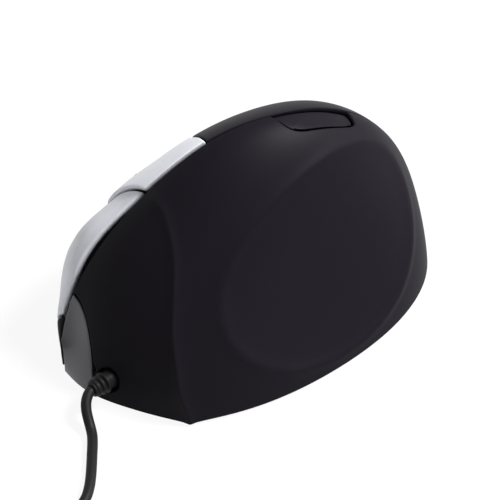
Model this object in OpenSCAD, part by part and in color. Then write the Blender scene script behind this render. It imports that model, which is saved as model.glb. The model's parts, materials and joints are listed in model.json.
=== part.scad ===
// Upright right-handed mouse for a handshake grip: two soft-touch shells, three stacked finger keys with a
// wheel between the upper two, a thumb key near the crest, a base with its boards, and a cord with a plug.
// Front (cord end) is -Y, the thumb side is +X, the finger side is -X, and the feet stand on z = 0.

/* [Body] */
// Length from nose to heel
body_l = 117; // [105:1:130]
// Width across the base
body_w = 75; // [68:1:84]
// Height of the crest above the table
body_h = 66; // [60:1:74]
// Wall of the two soft-touch shells
shell_wall = 2; // [1.6:0.1:2.4]
// Depth of the thumb hollow
hollow_depth = 5; // [2:0.5:6]
// Rise of the corner where the front face meets the thumb side
corner_rise = 2.2; // [0.5:0.1:3]
// Gap along the seam of the two shells
seam_gap = 0.5; // [0.3:0.1:0.8]
// Gap beside the nose panel and round the thumb key
trim_gap = 0.6; // [0.4:0.1:1]
// Height of the skirt below the keys
skirt_h = 8; // [7:0.5:10]
// Gap between the skirt and the lowest key
skirt_gap = 1; // [0.9:0.1:1.4]

/* [Finger keys] */
// Wall of a key cap
key_wall = 1.8; // [1.4:0.1:2]
// Gap between neighbouring keys
key_gap = 0.8; // [0.6:0.1:1.2]
// Gap between the keys and the front edge of the thumb shell
edge_gap = 1.4; // [1.2:0.1:2]
// Gap between the index key and the edge of the thumb shell
index_gap = 0.8; // [0.7:0.1:1.4]
// Gap ahead of the front ends of the ring and middle keys
front_gap = 1.2; // [1:0.1:1.6]
// Depth of the finger groove in each key
groove_depth = 0.8; // [0:0.1:1.2]
// Diameter of the hinge rod
rod_d = 2; // [1.6:0.1:2.4]
// Outer diameter of a lever's hinge barrel
barrel_d = 5; // [4.4:0.1:5.6]
// Radial running clearance of rod, axle and guide pins
run_clear = 0.05; // [0.03:0.01:0.1]
// Width of a key lever
lever_w = 6; // [5:0.5:7]
// Thickness of a key lever's arm
lever_t = 2; // [1.6:0.1:2.4]
// Diameter of the post that carries a cap
post_d = 4; // [3:0.5:5]
// Gap left for glue or a snap between seated pieces
seat_gap = 0.1; // [0.05:0.05:0.3]
// Gap between a post and the curved inside of its cap
cap_seat = 0.25; // [0.2:0.05:0.5]

/* [Wheel] */
// Diameter over the rubber tyre
wheel_d = 17; // [16:0.5:18]
// Width of the wheel
wheel_w = 5; // [4:0.5:6]
// Height of the wheel above the middle key
wheel_proud = 1.7; // [1.4:0.1:3]
// Thickness of the tyre
tyre_t = 2; // [1.5:0.1:2.5]
// Diameter of the wheel's axle
axle_d = 2; // [1.6:0.1:2.4]
// Clearance beside the wheel
wheel_clear = 0.4; // [0.3:0.1:0.6]
// Travel of the wheel when pressed
wheel_travel = 0.6; // [0.3:0.1:0.8]

/* [Switches and boards] */
// Length of a switch
switch_l = 12.8; // [12:0.1:14]
// Width of a switch
switch_w = 5.8; // [5:0.1:6]
// Height of a switch
switch_h = 6.5; // [6:0.1:7]
// Diameter of a switch's plunger
plunger_d = 1.8; // [1.4:0.1:2.2]
// Height of a plunger above its switch
plunger_h = 1; // [0.9:0.05:1.2]
// Gap between a plunger and what presses it
press_gap = 0.15; // [0.1:0.05:0.3]
// Thickness of a circuit board
board_t = 1.6; // [1:0.1:2]
// Thickness of the key frame's plate
frame_t = 2; // [1.6:0.1:3]
// Width of the main board
board_w = 27; // [24:1:30]
// Length of the main board
board_l = 50; // [44:1:56]
// Side of the sensor chip
sensor_s = 10; // [8:0.5:11]
// Height of the sensor chip
sensor_h = 3; // [2.4:0.1:3.6]

/* [Base] */
// Thickness of the base plate
base_t = 2; // [1.6:0.1:3]
// Thickness of a slide foot
foot_t = 0.8; // [0.5:0.1:1]
// Gap between the base plate and the shells
base_gap = 0.3; // [0.2:0.05:0.5]
// Height of the posts under the main board
stand_h = 4.4; // [4:0.1:6]
// Diameter of a screw's shank
screw_d = 2; // [1.8:0.1:2.4]
// Diameter of a screw's head
screw_head_d = 4; // [3.6:0.1:4.6]
// Length of a screw below its head
screw_l = 7; // [5:0.5:9]
// Diameter of a column that a screw bites into
column_d = 6; // [5:0.5:8]

/* [Cord] */
// Diameter of the cord
cord_d = 3; // [2.6:0.1:3.4]
// Length of the strain relief outside the shell
relief_l = 5.5; // [5:0.5:10]
// Root diameter of the strain relief
relief_d = 6; // [5.6:0.2:7.2]
// Ribs on the strain relief
relief_ribs = 3; // [2:1:5]
// Mean radius of the coil
coil_r = 16.5; // [15:0.5:18]
// Loops in the coil
coil_loops = 13.25; // [9.25:1:13.25]
// Free gap between neighbouring turns of the coil
coil_gap = 0.5; // [0.45:0.05:0.7]
// Thickness of the tie round the coil
tie_t = 0.7; // [0.5:0.1:1]
// Width of the tie
tie_w = 7; // [5:0.5:8]
// Length of the plug's moulded grip
plug_l = 22; // [18:1:28]
// Width of the plug's moulded grip
plug_w = 15; // [13:0.5:17]
// Height of the plug's moulded grip
plug_h = 7.6; // [7:0.2:9]

/* [Hidden] */
$fn = 48;
up = [0, 0, 1];
eps = 0.001;
// Hairline left between faces that meet
end_gap = 0.02;

// Stations from nose to heel, drawn for a body of draft size and scaled to the body's own size
draft = [75, 117, 66];
scale_xyz = [body_w / draft.x, body_l / draft.y, body_h / draft.z];
// Foot of the thumb side and of the finger side, x and y
thumb_base = [[-13, -58.5], [-2, -60], [11, -54.5], [26, -46], [35.5, -27], [39.5, -2.5], [38.5, 25.5],
    [28.5, 48.5], [8, 58.5]];
finger_base = [[-13, -58.5], [-27, -49.5], [-33.5, -34.5], [-37.5, -14.5], [-38.5, 9.5], [-37, 27.5], [-30.5, 42.5],
    [-15, 54.5], [8, 58.5]];
// Crest line, which is also the seam of the two sides
crest = [[-15, -57.5, 9], [-18, -52.5, 19], [-16.5, -43.5, 35.5], [-11, -28.5, 53], [-5.5, -10.5, 65.5],
    [1, 8.5, 68], [6, 29.5, 61.5], [8, 49.5, 40], [8, 58.5, 10]];
// Slope of each side where it leaves the crest, and how far it keeps that slope
thumb_slope = [0, 0, 0, 0, 5, 8, 0, 0, 0];
finger_slope = [15, 15, 10, 12, 22, 20, 10, 0, 0];
thumb_reach = [0, 8, 12, 14, 15, 15, 14, 6, 0];
finger_reach = [0, 7, 13, 16, 13, 13, 14, 12, 0];
// How much of its height a side climbs steeply, and how far it leans in there
thumb_climb = 0.42;
finger_climb = 0.5;
thumb_lean = 0.1;
finger_lean = 0.02;

// Places along the body: edge of the nose panel, front corner, front ends of the index key, of the ring key and of
// the middle key, which wraps round them both, and rear end of the keys
nose_u = 0.148;
corner_u = 0.375;
index_u = 0.375;
ring_u = 0.15;
front_u = 0.085;
keys_u = 0.5;
heel_u = 0.9985;
// Bands of the keys, from the skirt (0) to the crest (1)
index_v = 0.45;
middle_v = 0.23;
// How far the index key's front end runs forward on its way down from the crest
index_sweep = 0.085;
// Place of the wheel along the keys
wheel_u = 0.424;
// Place and lower edge of the thumb key, which runs up to the seam, and the slant of its front end
thumb_key_u = [0.617, 0.767];
thumb_key_v = 0.845;
thumb_slant = 0.022;
thumb_slant_u = [0.56, 0.7];
thumb_slant_v = 0.6;

function unit(p) = p / norm(p);
function mix(a, b, t) = a + (b - a) * t;
function ramp(x, a, b) = let (t = min(max((x - a) / (b - a), 0), 1)) t * t * (3 - 2 * t);
function span(a, b, n) = [for (i = [0:n]) mix(a, b, i / n)];
function tail(list) = [for (i = [1:len(list) - 1]) list[i]];
function flat(list) = [for (row = list) each row];

// Smooth curve along a list of stations, held at both ends, at t from 0 to 1
function held(c) = concat([2 * c[0] - c[1]], c, [2 * c[len(c) - 1] - c[len(c) - 2]]);
function blend(c, t) = let (n = len(c) - 3, x = min(max(t, 0), 1) * n, i = min(floor(x), n - 1), f = x - i)
    (pow(1 - f, 3) * c[i] + (3 * pow(f, 3) - 6 * f * f + 4) * c[i + 1]
    + (-3 * pow(f, 3) + 3 * f * f + 3 * f + 1) * c[i + 2] + pow(f, 3) * c[i + 3]) / 6;

function sized(p) = [for (i = [0:len(p) - 1]) p[i] * scale_xyz[i]];
thumb_base_line = held([for (p = thumb_base) sized(p)]);
finger_base_line = held([for (p = finger_base) sized(p)]);
crest_line = held([for (p = crest) sized(p)]);
thumb_slope_line = held(thumb_slope);
finger_slope_line = held(finger_slope);
thumb_reach_line = held(thumb_reach);
finger_reach_line = held(finger_reach);

// Step along u or v over which slopes are taken
probe = 0.001;
// Level direction across the crest, towards the thumb side, held steady where the crest climbs steeply
steep = 0.35;
function across(u) = let (d = unit(blend(crest_line, u + 2 * probe) - blend(crest_line, u - 2 * probe)),
    n = norm([d.x, d.y])) unit([d.y + max(steep - n, 0), -d.x, 0]);

// Bare skin of one side: side 1 is the thumb's and -1 the fingers', u runs nose to heel, v foot to crest
function skin(side, u, v) = let (
    foot2 = blend(side > 0 ? thumb_base_line : finger_base_line, u),
    foot = [foot2.x, foot2.y, foot_t],
    top = blend(crest_line, u),
    slope = blend(side > 0 ? thumb_slope_line : finger_slope_line, u),
    reach = blend(side > 0 ? thumb_reach_line : finger_reach_line, u),
    out = side * (across(u) * cos(slope) + up * sin(slope)),
    rise = (top.z - foot_t) * (side > 0 ? thumb_climb : finger_climb),
    lean = [top.x - foot.x, top.y - foot.y, 0] * (side > 0 ? thumb_lean : finger_lean),
    a = foot + up * rise + lean,
    b = top + out * reach,
    w = 1 - v)
    w * w * w * foot + 3 * w * w * v * a + 3 * w * v * v * b + v * v * v * top;

// Outward direction of the bare skin, kept inside the ends of the patch
function skin_out(side, u, v) = let (uu = min(max(u, probe), 1 - probe), vv = min(max(v, probe), 1 - probe))
    side * unit(cross(skin(side, uu + probe, vv) - skin(side, uu - probe, vv),
        skin(side, uu, vv + probe) - skin(side, uu, vv - probe)));

// Way through the wall: the skin's own outward direction, shared with the other side along the crest and at both
// ends so that the walls stand edge to edge, and level at the foot
edge_share = [0.07, 0.85];
foot_share = 0.1;
function level_foot(n, v) = [n.x, n.y, n.z * ramp(v, 0, foot_share)];
function wall_out(side, u, v) = let (
    near = max(ramp(v, edge_share.y, 1), ramp(u, 1 - edge_share.x, 1), 1 - ramp(u, 0, edge_share.x)))
    level_foot(unit(skin_out(side, u, v) + near * skin_out(-side, u, v)), v);

// Share of u or v that covers a length at a place on the skin
function u_share(side, u, v, mm) = 2 * probe * mm / norm(skin(side, u + probe, v) - skin(side, u - probe, v));
function v_share(side, u, v, mm) = let (top = min(v + probe, 1))
    2 * probe * mm / norm(skin(side, u, top) - skin(side, u, top - 2 * probe));

// Thumb hollow: an egg-shaped dish seen from the side, with its centre, half sizes and turn
hollow_at = [6, 30];
hollow_half = [35, 25];
hollow_turn = 12;
hollow_taper = 0.1;
hollow_rim = 1;
function hollow(p) = let (
    y = p.y / scale_xyz.y - hollow_at.x, z = p.z / scale_xyz.z - hollow_at.y,
    a = (y * cos(hollow_turn) + z * sin(hollow_turn)) / hollow_half.x,
    b = (z * cos(hollow_turn) - y * sin(hollow_turn)) / hollow_half.y * (1 - hollow_taper * a),
    r2 = a * a + b * b)
    r2 < 1 ? hollow_depth * pow(1 - r2, hollow_rim) : 0;
// Front corner: a soft fold that dips forward over the foot, bows back higher up and fades towards the crest
corner_spread = 0.035;
corner_soft = 0.004;
corner_dip = 0.013;
corner_bow = 0.03;
corner_back = 0.014;
corner_high = 0.3;
function corner_line(v) = corner_u - corner_dip * ramp(v, 0, 0.16) + corner_bow * ramp(v, 0.3, 0.68)
    - corner_back * ramp(v, 0.76, 1);
function corner_fade(v) = (1 - (1 - corner_high) * ramp(v, 0.2, 0.8)) * (1 - ramp(v, 0.85, 1));
function corner(u, v) = corner_rise * corner_fade(v)
    * exp(-sqrt(pow(u - corner_line(v), 2) + pow(corner_soft, 2)) / corner_spread);
function thumb_side(u, v) = let (p = skin(1, u, v))
    p + level_foot(skin_out(1, u, v), v) * (corner(u, v) - hollow(p));

// Finger side: the index key stands over the middle key, whose front end stands out in turn
index_low = 0.6;
index_lift = 1.3;
index_fade = [0.33, 0.45];
function index_rise(u) = index_low + index_lift * (1 - ramp(u, index_fade[0], index_fade[1]));
middle_low = 0.2;
middle_lift = 2.8;
middle_fade = [0.25, 0.36];
nose_fade = [0.12, 0.24];
function middle_rise(u) = (middle_low + middle_lift * (1 - ramp(u, middle_fade[0], middle_fade[1])))
    * ramp(u, nose_fade[0], nose_fade[1]);
ring_share = 0.6;
function ring_rise(u) = ring_share * middle_rise(u);
// Each key has a shallow groove for its finger, which runs out ahead of the fingertip
groove_end = [0.3, 0.4];
function groove(u, k, low, high) = groove_depth * ramp(u, groove_end[0], groove_end[1])
    * pow(sin(180 * min(max((k - low) / (high - low), 0), 1)), 2);

// Keys are laid out on v from the skirt's edge (0) to the crest (1), and on u with the sweep of the index key
low_crest = 30;
function skirt_v(u) = skirt_h / (3 * finger_climb * max(blend(crest_line, u).z - foot_t, low_crest));
function key_v(u, k) = let (low = skirt_v(u)) low + (1 - low) * k;
function swept(u, k) = u - index_sweep * (1 - k)
    * max(min((u - ring_u) / (index_u - ring_u), (keys_u - u) / (keys_u - index_u)), 0);
// A key's rise over the skin falls off to the skirt and to the crest
rise_fade = [0.1, 0.4];
edge_from = 0.84;
edge_fall = 0.55;
function key_point(u, k, rise) = let (v = key_v(u, k))
    skin(-1, u, v) + skin_out(-1, u, v) * rise * ramp(v, rise_fade[0], rise_fade[1]) * (1 - edge_fall * ramp(k, edge_from, 1));
// A line across the keys is a pair: its place from skirt to crest, and a length further on in mm
function line_k(u, line) = line[0] + v_share(-1, u, key_v(u, line[0]), line[1]) / (1 - skirt_v(u));
function index_point(u, line) = let (k = line_k(u, line), w = swept(u, k)) key_point(w, k, index_rise(w) - groove(w, k, index_v, 1));
function middle_point(u, line) = let (k = line_k(u, line), w = swept(u, k)) key_point(w, k, middle_rise(w) - groove(w, k, middle_v, index_v));
function ring_point(u, line) = let (k = line_k(u, line), w = swept(u, k)) key_point(w, k, ring_rise(w) - groove(w, k, 0, middle_v));
function key_out(u, line) = let (k = line_k(u, line), w = swept(u, k)) wall_out(-1, w, key_v(w, k));

// Closed shell over a grid: outside and inside points by row and column, and which cells are kept
module grid_shell(outside, inside, kept, turned) {
    rows = len(outside);
    cols = len(outside[0]);
    half = rows * cols;
    function id(i, j) = i * cols + j;
    function has(i, j) = i >= 0 && j >= 0 && i < rows - 1 && j < cols - 1 && kept[i][j];
    function quad(a, b, c, d) = turned ? [[a, b, c], [a, c, d]] : [[a, c, b], [a, d, c]];
    faces = flat([for (i = [0:rows - 2]) for (j = [0:cols - 2]) if (has(i, j))
        let (a = id(i, j), b = id(i + 1, j), c = id(i + 1, j + 1), d = id(i, j + 1)) concat(
            quad(a, b, c, d),
            quad(half + a, half + d, half + c, half + b),
            has(i, j - 1) ? [] : quad(half + a, half + b, b, a),
            has(i, j + 1) ? [] : quad(half + c, half + d, d, c),
            has(i - 1, j) ? [] : quad(half + d, half + a, a, d),
            has(i + 1, j) ? [] : quad(half + b, half + c, c, b))]);
    polyhedron(concat(flat(outside), flat(inside)), faces, convexity = 8);
}
function cells(us, vs, test) = [for (i = [0:len(us) - 2]) [for (j = [0:len(vs) - 2])
    test((us[i] + us[i + 1]) / 2, (vs[j] + vs[j + 1]) / 2)]];
every_cell = function (u, v) true;

// Strain relief: it leaves the front face of the thumb shell level and straight ahead
relief_uv = [0.192, 0.178];
relief_root = thumb_side(relief_uv.x, relief_uv.y);
relief_clear = 0.8;
relief_hole_u = u_share(1, relief_uv.x, relief_uv.y, relief_d / 2 + relief_clear);
relief_hole_v = v_share(1, relief_uv.x, relief_uv.y, relief_d / 2 + relief_clear);
relief_inside = 8.5;
relief_lip = 0.8;
relief_tip_d = cord_d + 2 * relief_lip;

// Seam lines in shares of v, a little off the crest
seam_v = v_share(1, 0.65, 1, seam_gap / 2);
front_v = v_share(1, 0.3, 1, seam_gap / 2);
nose_gap_u = u_share(1, nose_u, 0.5, trim_gap / 2);
rear_gap_u = u_share(-1, keys_u, 0.5, key_gap / 2);
key_gap_u = u_share(-1, index_u, 0.6, key_gap / 2);
ring_gap_u = u_share(-1, ring_u, 0.3, front_gap / 2);
front_gap_u = u_share(-1, front_u, 0.5, front_gap / 2);
thumb_gap_u = u_share(1, 0.7, 0.9, trim_gap);
thumb_gap_v = v_share(1, 0.7, 0.9, trim_gap);

// Grid lines of the thumb shell, with lines on the edges of the relief's hole and of the thumb key's opening
thumb_us = concat(
    span(nose_u + nose_gap_u, relief_uv.x - relief_hole_u, 2),
    tail(span(relief_uv.x - relief_hole_u, relief_uv.x + relief_hole_u, 2)),
    tail(span(relief_uv.x + relief_hole_u, corner_u, 5)),
    tail(span(corner_u, thumb_key_u[0], 10)),
    tail(span(thumb_key_u[0], thumb_key_u[1], 5)),
    tail(span(thumb_key_u[1], heel_u, 9)));
thumb_vs = concat(
    span(0, relief_uv.y - relief_hole_v, 2),
    tail(span(relief_uv.y - relief_hole_v, relief_uv.y + relief_hole_v, 3)),
    tail(span(relief_uv.y + relief_hole_v, thumb_key_v, 11)),
    tail(span(thumb_key_v, 1 - seam_v, 3)));
// Place of a grid line of the thumb shell, bent to the front corner and to the slanted front end of the thumb key
function corner_near(u) = u < corner_u ? ramp(u, relief_uv.x + relief_hole_u, corner_u)
    : 1 - ramp(u, corner_u, thumb_slant_u[0]);
function slant_near(u) = u < thumb_key_u[0] ? ramp(u, thumb_slant_u[0], thumb_key_u[0])
    : 1 - ramp(u, thumb_key_u[0], thumb_slant_u[1]);
function slant_low(v) = v < thumb_key_v ? ramp(v, thumb_slant_v, thumb_key_v) : (1 - v) / (1 - thumb_key_v);
function bent(u, v) = u + (corner_line(v) - corner_u) * corner_near(u) + thumb_slant * slant_near(u) * slant_low(v);
function in_thumb_key(u, v) = u > thumb_key_u[0] && u < thumb_key_u[1] && v > thumb_key_v;
function in_relief_hole(u, v) = abs(u - relief_uv.x) < relief_hole_u && abs(v - relief_uv.y) < relief_hole_v;

module thumb_shell() {
    color([0.11, 0.10, 0.12])
    grid_shell(
        [for (u = thumb_us) [for (v = thumb_vs) thumb_side(bent(u, v), v)]],
        [for (u = thumb_us) [for (v = thumb_vs) let (w = bent(u, v))
            thumb_side(w, v) - wall_out(1, w, v) * shell_wall]],
        cells(thumb_us, thumb_vs, function (u, v) !in_thumb_key(u, v) && !in_relief_hole(u, v)), true);
}

module palm_shell() {
    us = span(keys_u + rear_gap_u, heel_u, 20);
    vs = span(0, 1 - seam_v, 16);
    color([0.11, 0.10, 0.12])
    grid_shell(
        [for (u = us) [for (v = vs) skin(-1, u, v)]],
        [for (u = us) [for (v = vs) skin(-1, u, v) - wall_out(-1, u, v) * shell_wall]],
        cells(us, vs, every_cell), false);
}

nose_start_u = 0.006;
module nose_panel() {
    us = span(nose_start_u, nose_u - nose_gap_u, 6);
    vs = span(0, 1 - front_v, 10);
    color([0.28, 0.28, 0.31])
    grid_shell(
        [for (u = us) [for (v = vs) skin(1, u, v)]],
        [for (u = us) [for (v = vs) skin(1, u, v) - wall_out(1, u, v) * shell_wall]],
        cells(us, vs, every_cell), true);
}

// Skirt below the keys; ahead of them it rises to the crest and closes the nose
module key_skirt() {
    us = concat(span(2 * nose_start_u, front_u - front_gap_u, 4), tail(span(front_u - front_gap_u, keys_u - rear_gap_u, 18)));
    ts = span(0, 2, 6);
    function top_v(u) = skirt_v(u) - v_share(-1, u, skirt_v(u), skirt_gap / 2);
    function v(u, t) = t < 1 ? t * top_v(u) : mix(top_v(u), 1 - front_v, t - 1);
    color([0.11, 0.10, 0.12])
    grid_shell(
        [for (u = us) [for (t = ts) skin(-1, u, v(u, t))]],
        [for (u = us) [for (t = ts) skin(-1, u, v(u, t)) - wall_out(-1, u, v(u, t)) * key_wall]],
        cells(us, ts, function (u, t) t < 1 || u < front_u - front_gap_u), false);
}

// Wheel slot between the index and middle keys
wheel_at = swept(wheel_u, index_v);
wheel_sunk = wheel_d / 2 - wheel_proud - key_wall;
slot_room = 1.1;
slot_half = sqrt(pow(wheel_d / 2, 2) - pow(wheel_sunk, 2)) + slot_room;
slot_u = u_share(-1, wheel_at, key_v(wheel_at, index_v), slot_half) * (keys_u - wheel_u) / (keys_u - wheel_at);
slot_side = wheel_w / 2 + slot_room;
function in_slot(u, line) = abs(u - wheel_u) < slot_u && line[0] == index_v && abs(line[1]) < slot_side;

module key_cap(us, lines, place, test) {
    color([0.74, 0.75, 0.78])
    grid_shell(
        [for (u = us) [for (line = lines) place(u, line)]],
        [for (u = us) [for (line = lines) place(u, line) - key_out(u, line) * key_wall]],
        cells(us, lines, test), false);
}
index_low_line = [index_v, key_gap / 2];
index_top_line = [1, -index_gap];
middle_low_line = [middle_v, key_gap / 2];
middle_high_line = [index_v, -key_gap / 2];
front_top_line = [1, -edge_gap];
ring_low_line = [0, skirt_gap / 2];
ring_high_line = [middle_v, -key_gap / 2];
slot_low_line = [index_v, -slot_side];
slot_high_line = [index_v, slot_side];
key_lines_u = concat(span(wheel_u - slot_u, wheel_u + slot_u, 4),
    tail(span(wheel_u + slot_u, keys_u - rear_gap_u, 2)));
module index_key() {
    us = concat(span(index_u + key_gap_u, wheel_u - slot_u, 1), tail(key_lines_u));
    lines = concat([index_low_line], span(slot_high_line, index_top_line, 8));
    key_cap(us, lines, function (u, line) index_point(u, line), function (u, line) !in_slot(u, line));
}
module middle_key() {
    us = concat(span(front_u + front_gap_u, ring_u - ring_gap_u, 4),
        tail(span(ring_u - ring_gap_u, index_u - key_gap_u, 11)),
        tail(span(index_u - key_gap_u, wheel_u - slot_u, 1)), tail(key_lines_u));
    lines = concat(span(ring_low_line, middle_low_line, 3), tail(span(middle_low_line, slot_low_line, 4)),
        span(middle_high_line, front_top_line, 8));
    key_cap(us, lines, function (u, line) middle_point(u, line), function (u, line)
        !(u > index_u - key_gap_u && line[0] > index_v) && !(u > ring_u - ring_gap_u && line[0] < middle_v)
        && !in_slot(u, line));
}
module ring_key() {
    us = span(ring_u + ring_gap_u, keys_u - rear_gap_u, 20);
    key_cap(us, span(ring_low_line, ring_high_line, 5), function (u, line) ring_point(u, line), every_cell);
}

// Frame of the finger keys: a runs down the hinge rod, b forward along the fingers, c out through the keys
// The hinge lies deep enough for the wheel with its cradle and switch
hinge_over = 7.3;
hinge_depth = wheel_d - wheel_proud - hinge_over;
rod_from = skin(-1, keys_u, 0.85);
rod_to = skin(-1, keys_u, 0.1);
key_a = unit(rod_to - rod_from);
key_face = skin_out(-1, 0.4, 0.5);
key_c = unit(key_face - key_a * (key_face * key_a));
key_b = cross(key_c, key_a);
key_o = rod_from - key_c * hinge_depth;
function in_keys(p) = [(p - key_o) * key_a, (p - key_o) * key_b, (p - key_o) * key_c];
function out_keys(q) = key_o + key_a * q.x + key_b * q.y + key_c * q.z;
module at_keys() {
    multmatrix([for (i = [0:2]) [key_a[i], key_b[i], key_c[i], key_o[i]]]) children();
}

// Middle of the round head of each lever's post, which meets the inside of its cap
index_post = [0.44, 0.7];
middle_post = [0.43, 0.32];
ring_post = [0.42, 0.15];
function seat_in(place, uk) = in_keys(place(uk.x, [uk.y, 0])
    - key_out(uk.x, [uk.y, 0]) * (key_wall + cap_seat + post_d / 2));
index_seat = seat_in(function (u, line) index_point(u, line), index_post);
middle_seat = seat_in(function (u, line) middle_point(u, line), middle_post);
ring_seat = seat_in(function (u, line) ring_point(u, line), ring_post);
seats = [index_seat, middle_seat, ring_seat];
arm_lift = 0.5;
arm_c = rod_d / 2 + run_clear + arm_lift;
arm_over = 2;
plunger_b = 12;
plunger_top = arm_c - press_gap;
switch_top = plunger_top - plunger_h;
switch_share = 0.65;
switch_b = plunger_b - switch_l * switch_share;
board_top = switch_top - switch_h;
frame_top = board_top - board_t - seat_gap;

module lever(seat) {
    color([0.15, 0.15, 0.16])
    at_keys()
    difference() {
        union() {
            translate([seat.x - lever_w / 2, 0, 0]) rotate([0, 90, 0]) cylinder(d = barrel_d, h = lever_w);
            translate([seat.x - lever_w / 2, 0, arm_c])
                cube([lever_w, max(seat.y, plunger_b) + post_d / 2 + arm_over, lever_t]);
            translate([seat.x, seat.y, arm_c]) cylinder(d = post_d, h = seat.z - arm_c);
            translate(seat) sphere(d = post_d);
        }
        translate([seat.x - lever_w, 0, 0]) rotate([0, 90, 0])
            cylinder(d = rod_d + 2 * run_clear, h = 2 * lever_w);
    }
}
module index_lever() { lever(index_seat); }
module middle_lever() { lever(middle_seat); }
module ring_lever() { lever(ring_seat); }

// Ears of the key frame stand beside the levers and hold the rod
ear_w = 2.4;
ear_gap = 0.4;
ears = [index_seat.x - lever_w / 2 - ear_gap - ear_w, middle_seat.x + lever_w / 2 + ear_gap,
    ring_seat.x - lever_w / 2 - ear_gap - ear_w, ring_seat.x + lever_w / 2 + ear_gap];
rod_over = 0.5;
rod_start = ears[0] - rod_over;
rod_end = ears[3] + ear_w + rod_over;
module hinge_rod() {
    color([0.7, 0.7, 0.72])
    at_keys() translate([rod_start, 0, 0]) rotate([0, 90, 0]) cylinder(d = rod_d, h = rod_end - rod_start);
}

// Wheel: its middle lies under the slot, far enough down for the part that stands proud
wheel_seat = in_keys(key_point(wheel_at, index_v, middle_rise(wheel_at))) + [0, 0, wheel_proud - wheel_d / 2];
// The wheel turns in line with its slot
function slot_end(u) = let (w = swept(u, index_v)) in_keys(skin(-1, w, key_v(w, index_v)));
slot_line = slot_end(wheel_u - slot_u) - slot_end(wheel_u + slot_u);
wheel_turn = -atan2(slot_line.x, slot_line.y);
wheel_axis = key_a * cos(wheel_turn) + key_b * sin(wheel_turn);
cheek_t = 1.2;
cheek_in = wheel_w / 2 + wheel_clear;
cheek_out = cheek_in + cheek_t;
encoder_t = 3;
cradle_t = 1.4;
cradle_top = wheel_seat.z - wheel_d / 2 - wheel_clear;
cradle_l = 19;
cheek_l = 8;
guide_d = 2;
guide_b = 7.5;
guide_over = 1;
module at_wheel() { at_keys() translate(wheel_seat) rotate([0, 0, wheel_turn]) children(); }
module along_axle(d, from, to) {
    translate([from, 0, 0]) rotate([0, 90, 0]) cylinder(d = d, h = to - from);
}
tread_ribs = 24;
tread_w = 0.8;
tread_depth = 0.5;
module wheel_tyre() {
    color([0.16, 0.16, 0.17])
    at_wheel() difference() {
        along_axle(wheel_d, -wheel_w / 2, wheel_w / 2);
        along_axle(wheel_d - 2 * tyre_t, -wheel_w, wheel_w);
        for (i = [0:tread_ribs - 1]) rotate([i * 360 / tread_ribs, 0, 0])
            translate([-wheel_w, -tread_w / 2, wheel_d / 2 - tread_depth])
                cube([2 * wheel_w, tread_w, 2 * tread_depth]);
    }
}
axle_over = 0.4;
axle_in = cheek_out + encoder_t - axle_over;
module wheel_hub() {
    color([0.55, 0.56, 0.58])
    at_wheel() union() {
        along_axle(wheel_d - 2 * tyre_t - 2 * seat_gap, -wheel_w / 2, wheel_w / 2);
        along_axle(axle_d, -axle_in, cheek_out + axle_over);
    }
}
module wheel_cradle() {
    color([0.2, 0.2, 0.22])
    at_wheel() difference() {
        union() {
            translate([-cheek_out, -cradle_l / 2, cradle_top - wheel_seat.z - cradle_t])
                cube([2 * cheek_out, cradle_l, cradle_t]);
            for (x = [-cheek_out, cheek_in])
                translate([x, -cheek_l / 2, cradle_top - wheel_seat.z - cradle_t])
                    cube([cheek_t, cheek_l, cradle_t + wheel_d / 2 + wheel_clear + axle_d / 2 + cheek_t]);
        }
        along_axle(axle_d + 2 * run_clear, -2 * cheek_out, 2 * cheek_out);
        for (b = [-guide_b, guide_b])
            translate([0, b, -wheel_d]) cylinder(d = guide_d + 2 * run_clear, h = wheel_d);
    }
}
encoder_l = 9;
encoder_h = 5.6;
encoder_over = 2;
module wheel_encoder() {
    color([0.75, 0.76, 0.72])
    at_wheel() difference() {
        translate([-cheek_out - seat_gap - encoder_t, -encoder_l / 2, encoder_over - encoder_h])
            cube([encoder_t, encoder_l, encoder_h]);
        along_axle(axle_d + 2 * run_clear, -axle_in - axle_over / 2, 0);
    }
}
wheel_switch_l = 6;
module wheel_switch() {
    bottom = board_top + seat_gap;
    height = cradle_top - cradle_t - wheel_travel - press_gap - bottom;
    color([0.12, 0.12, 0.13])
    at_wheel() translate([-switch_w / 2, -wheel_switch_l / 2, bottom - wheel_seat.z])
        cube([switch_w, wheel_switch_l, height]);
}

// Plate of the key frame with its ears, guide posts and the columns that stand on the base
frame_rim = 5;
frame_edge = 1;
frame_front = max(switch_b + switch_l, wheel_seat.y + cradle_l / 2) + frame_edge;
frame_from = ears[0] - frame_edge;
frame_to = ring_seat.x + switch_w / 2 + frame_edge;
frame_end = ears[3] + ear_w;
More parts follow.
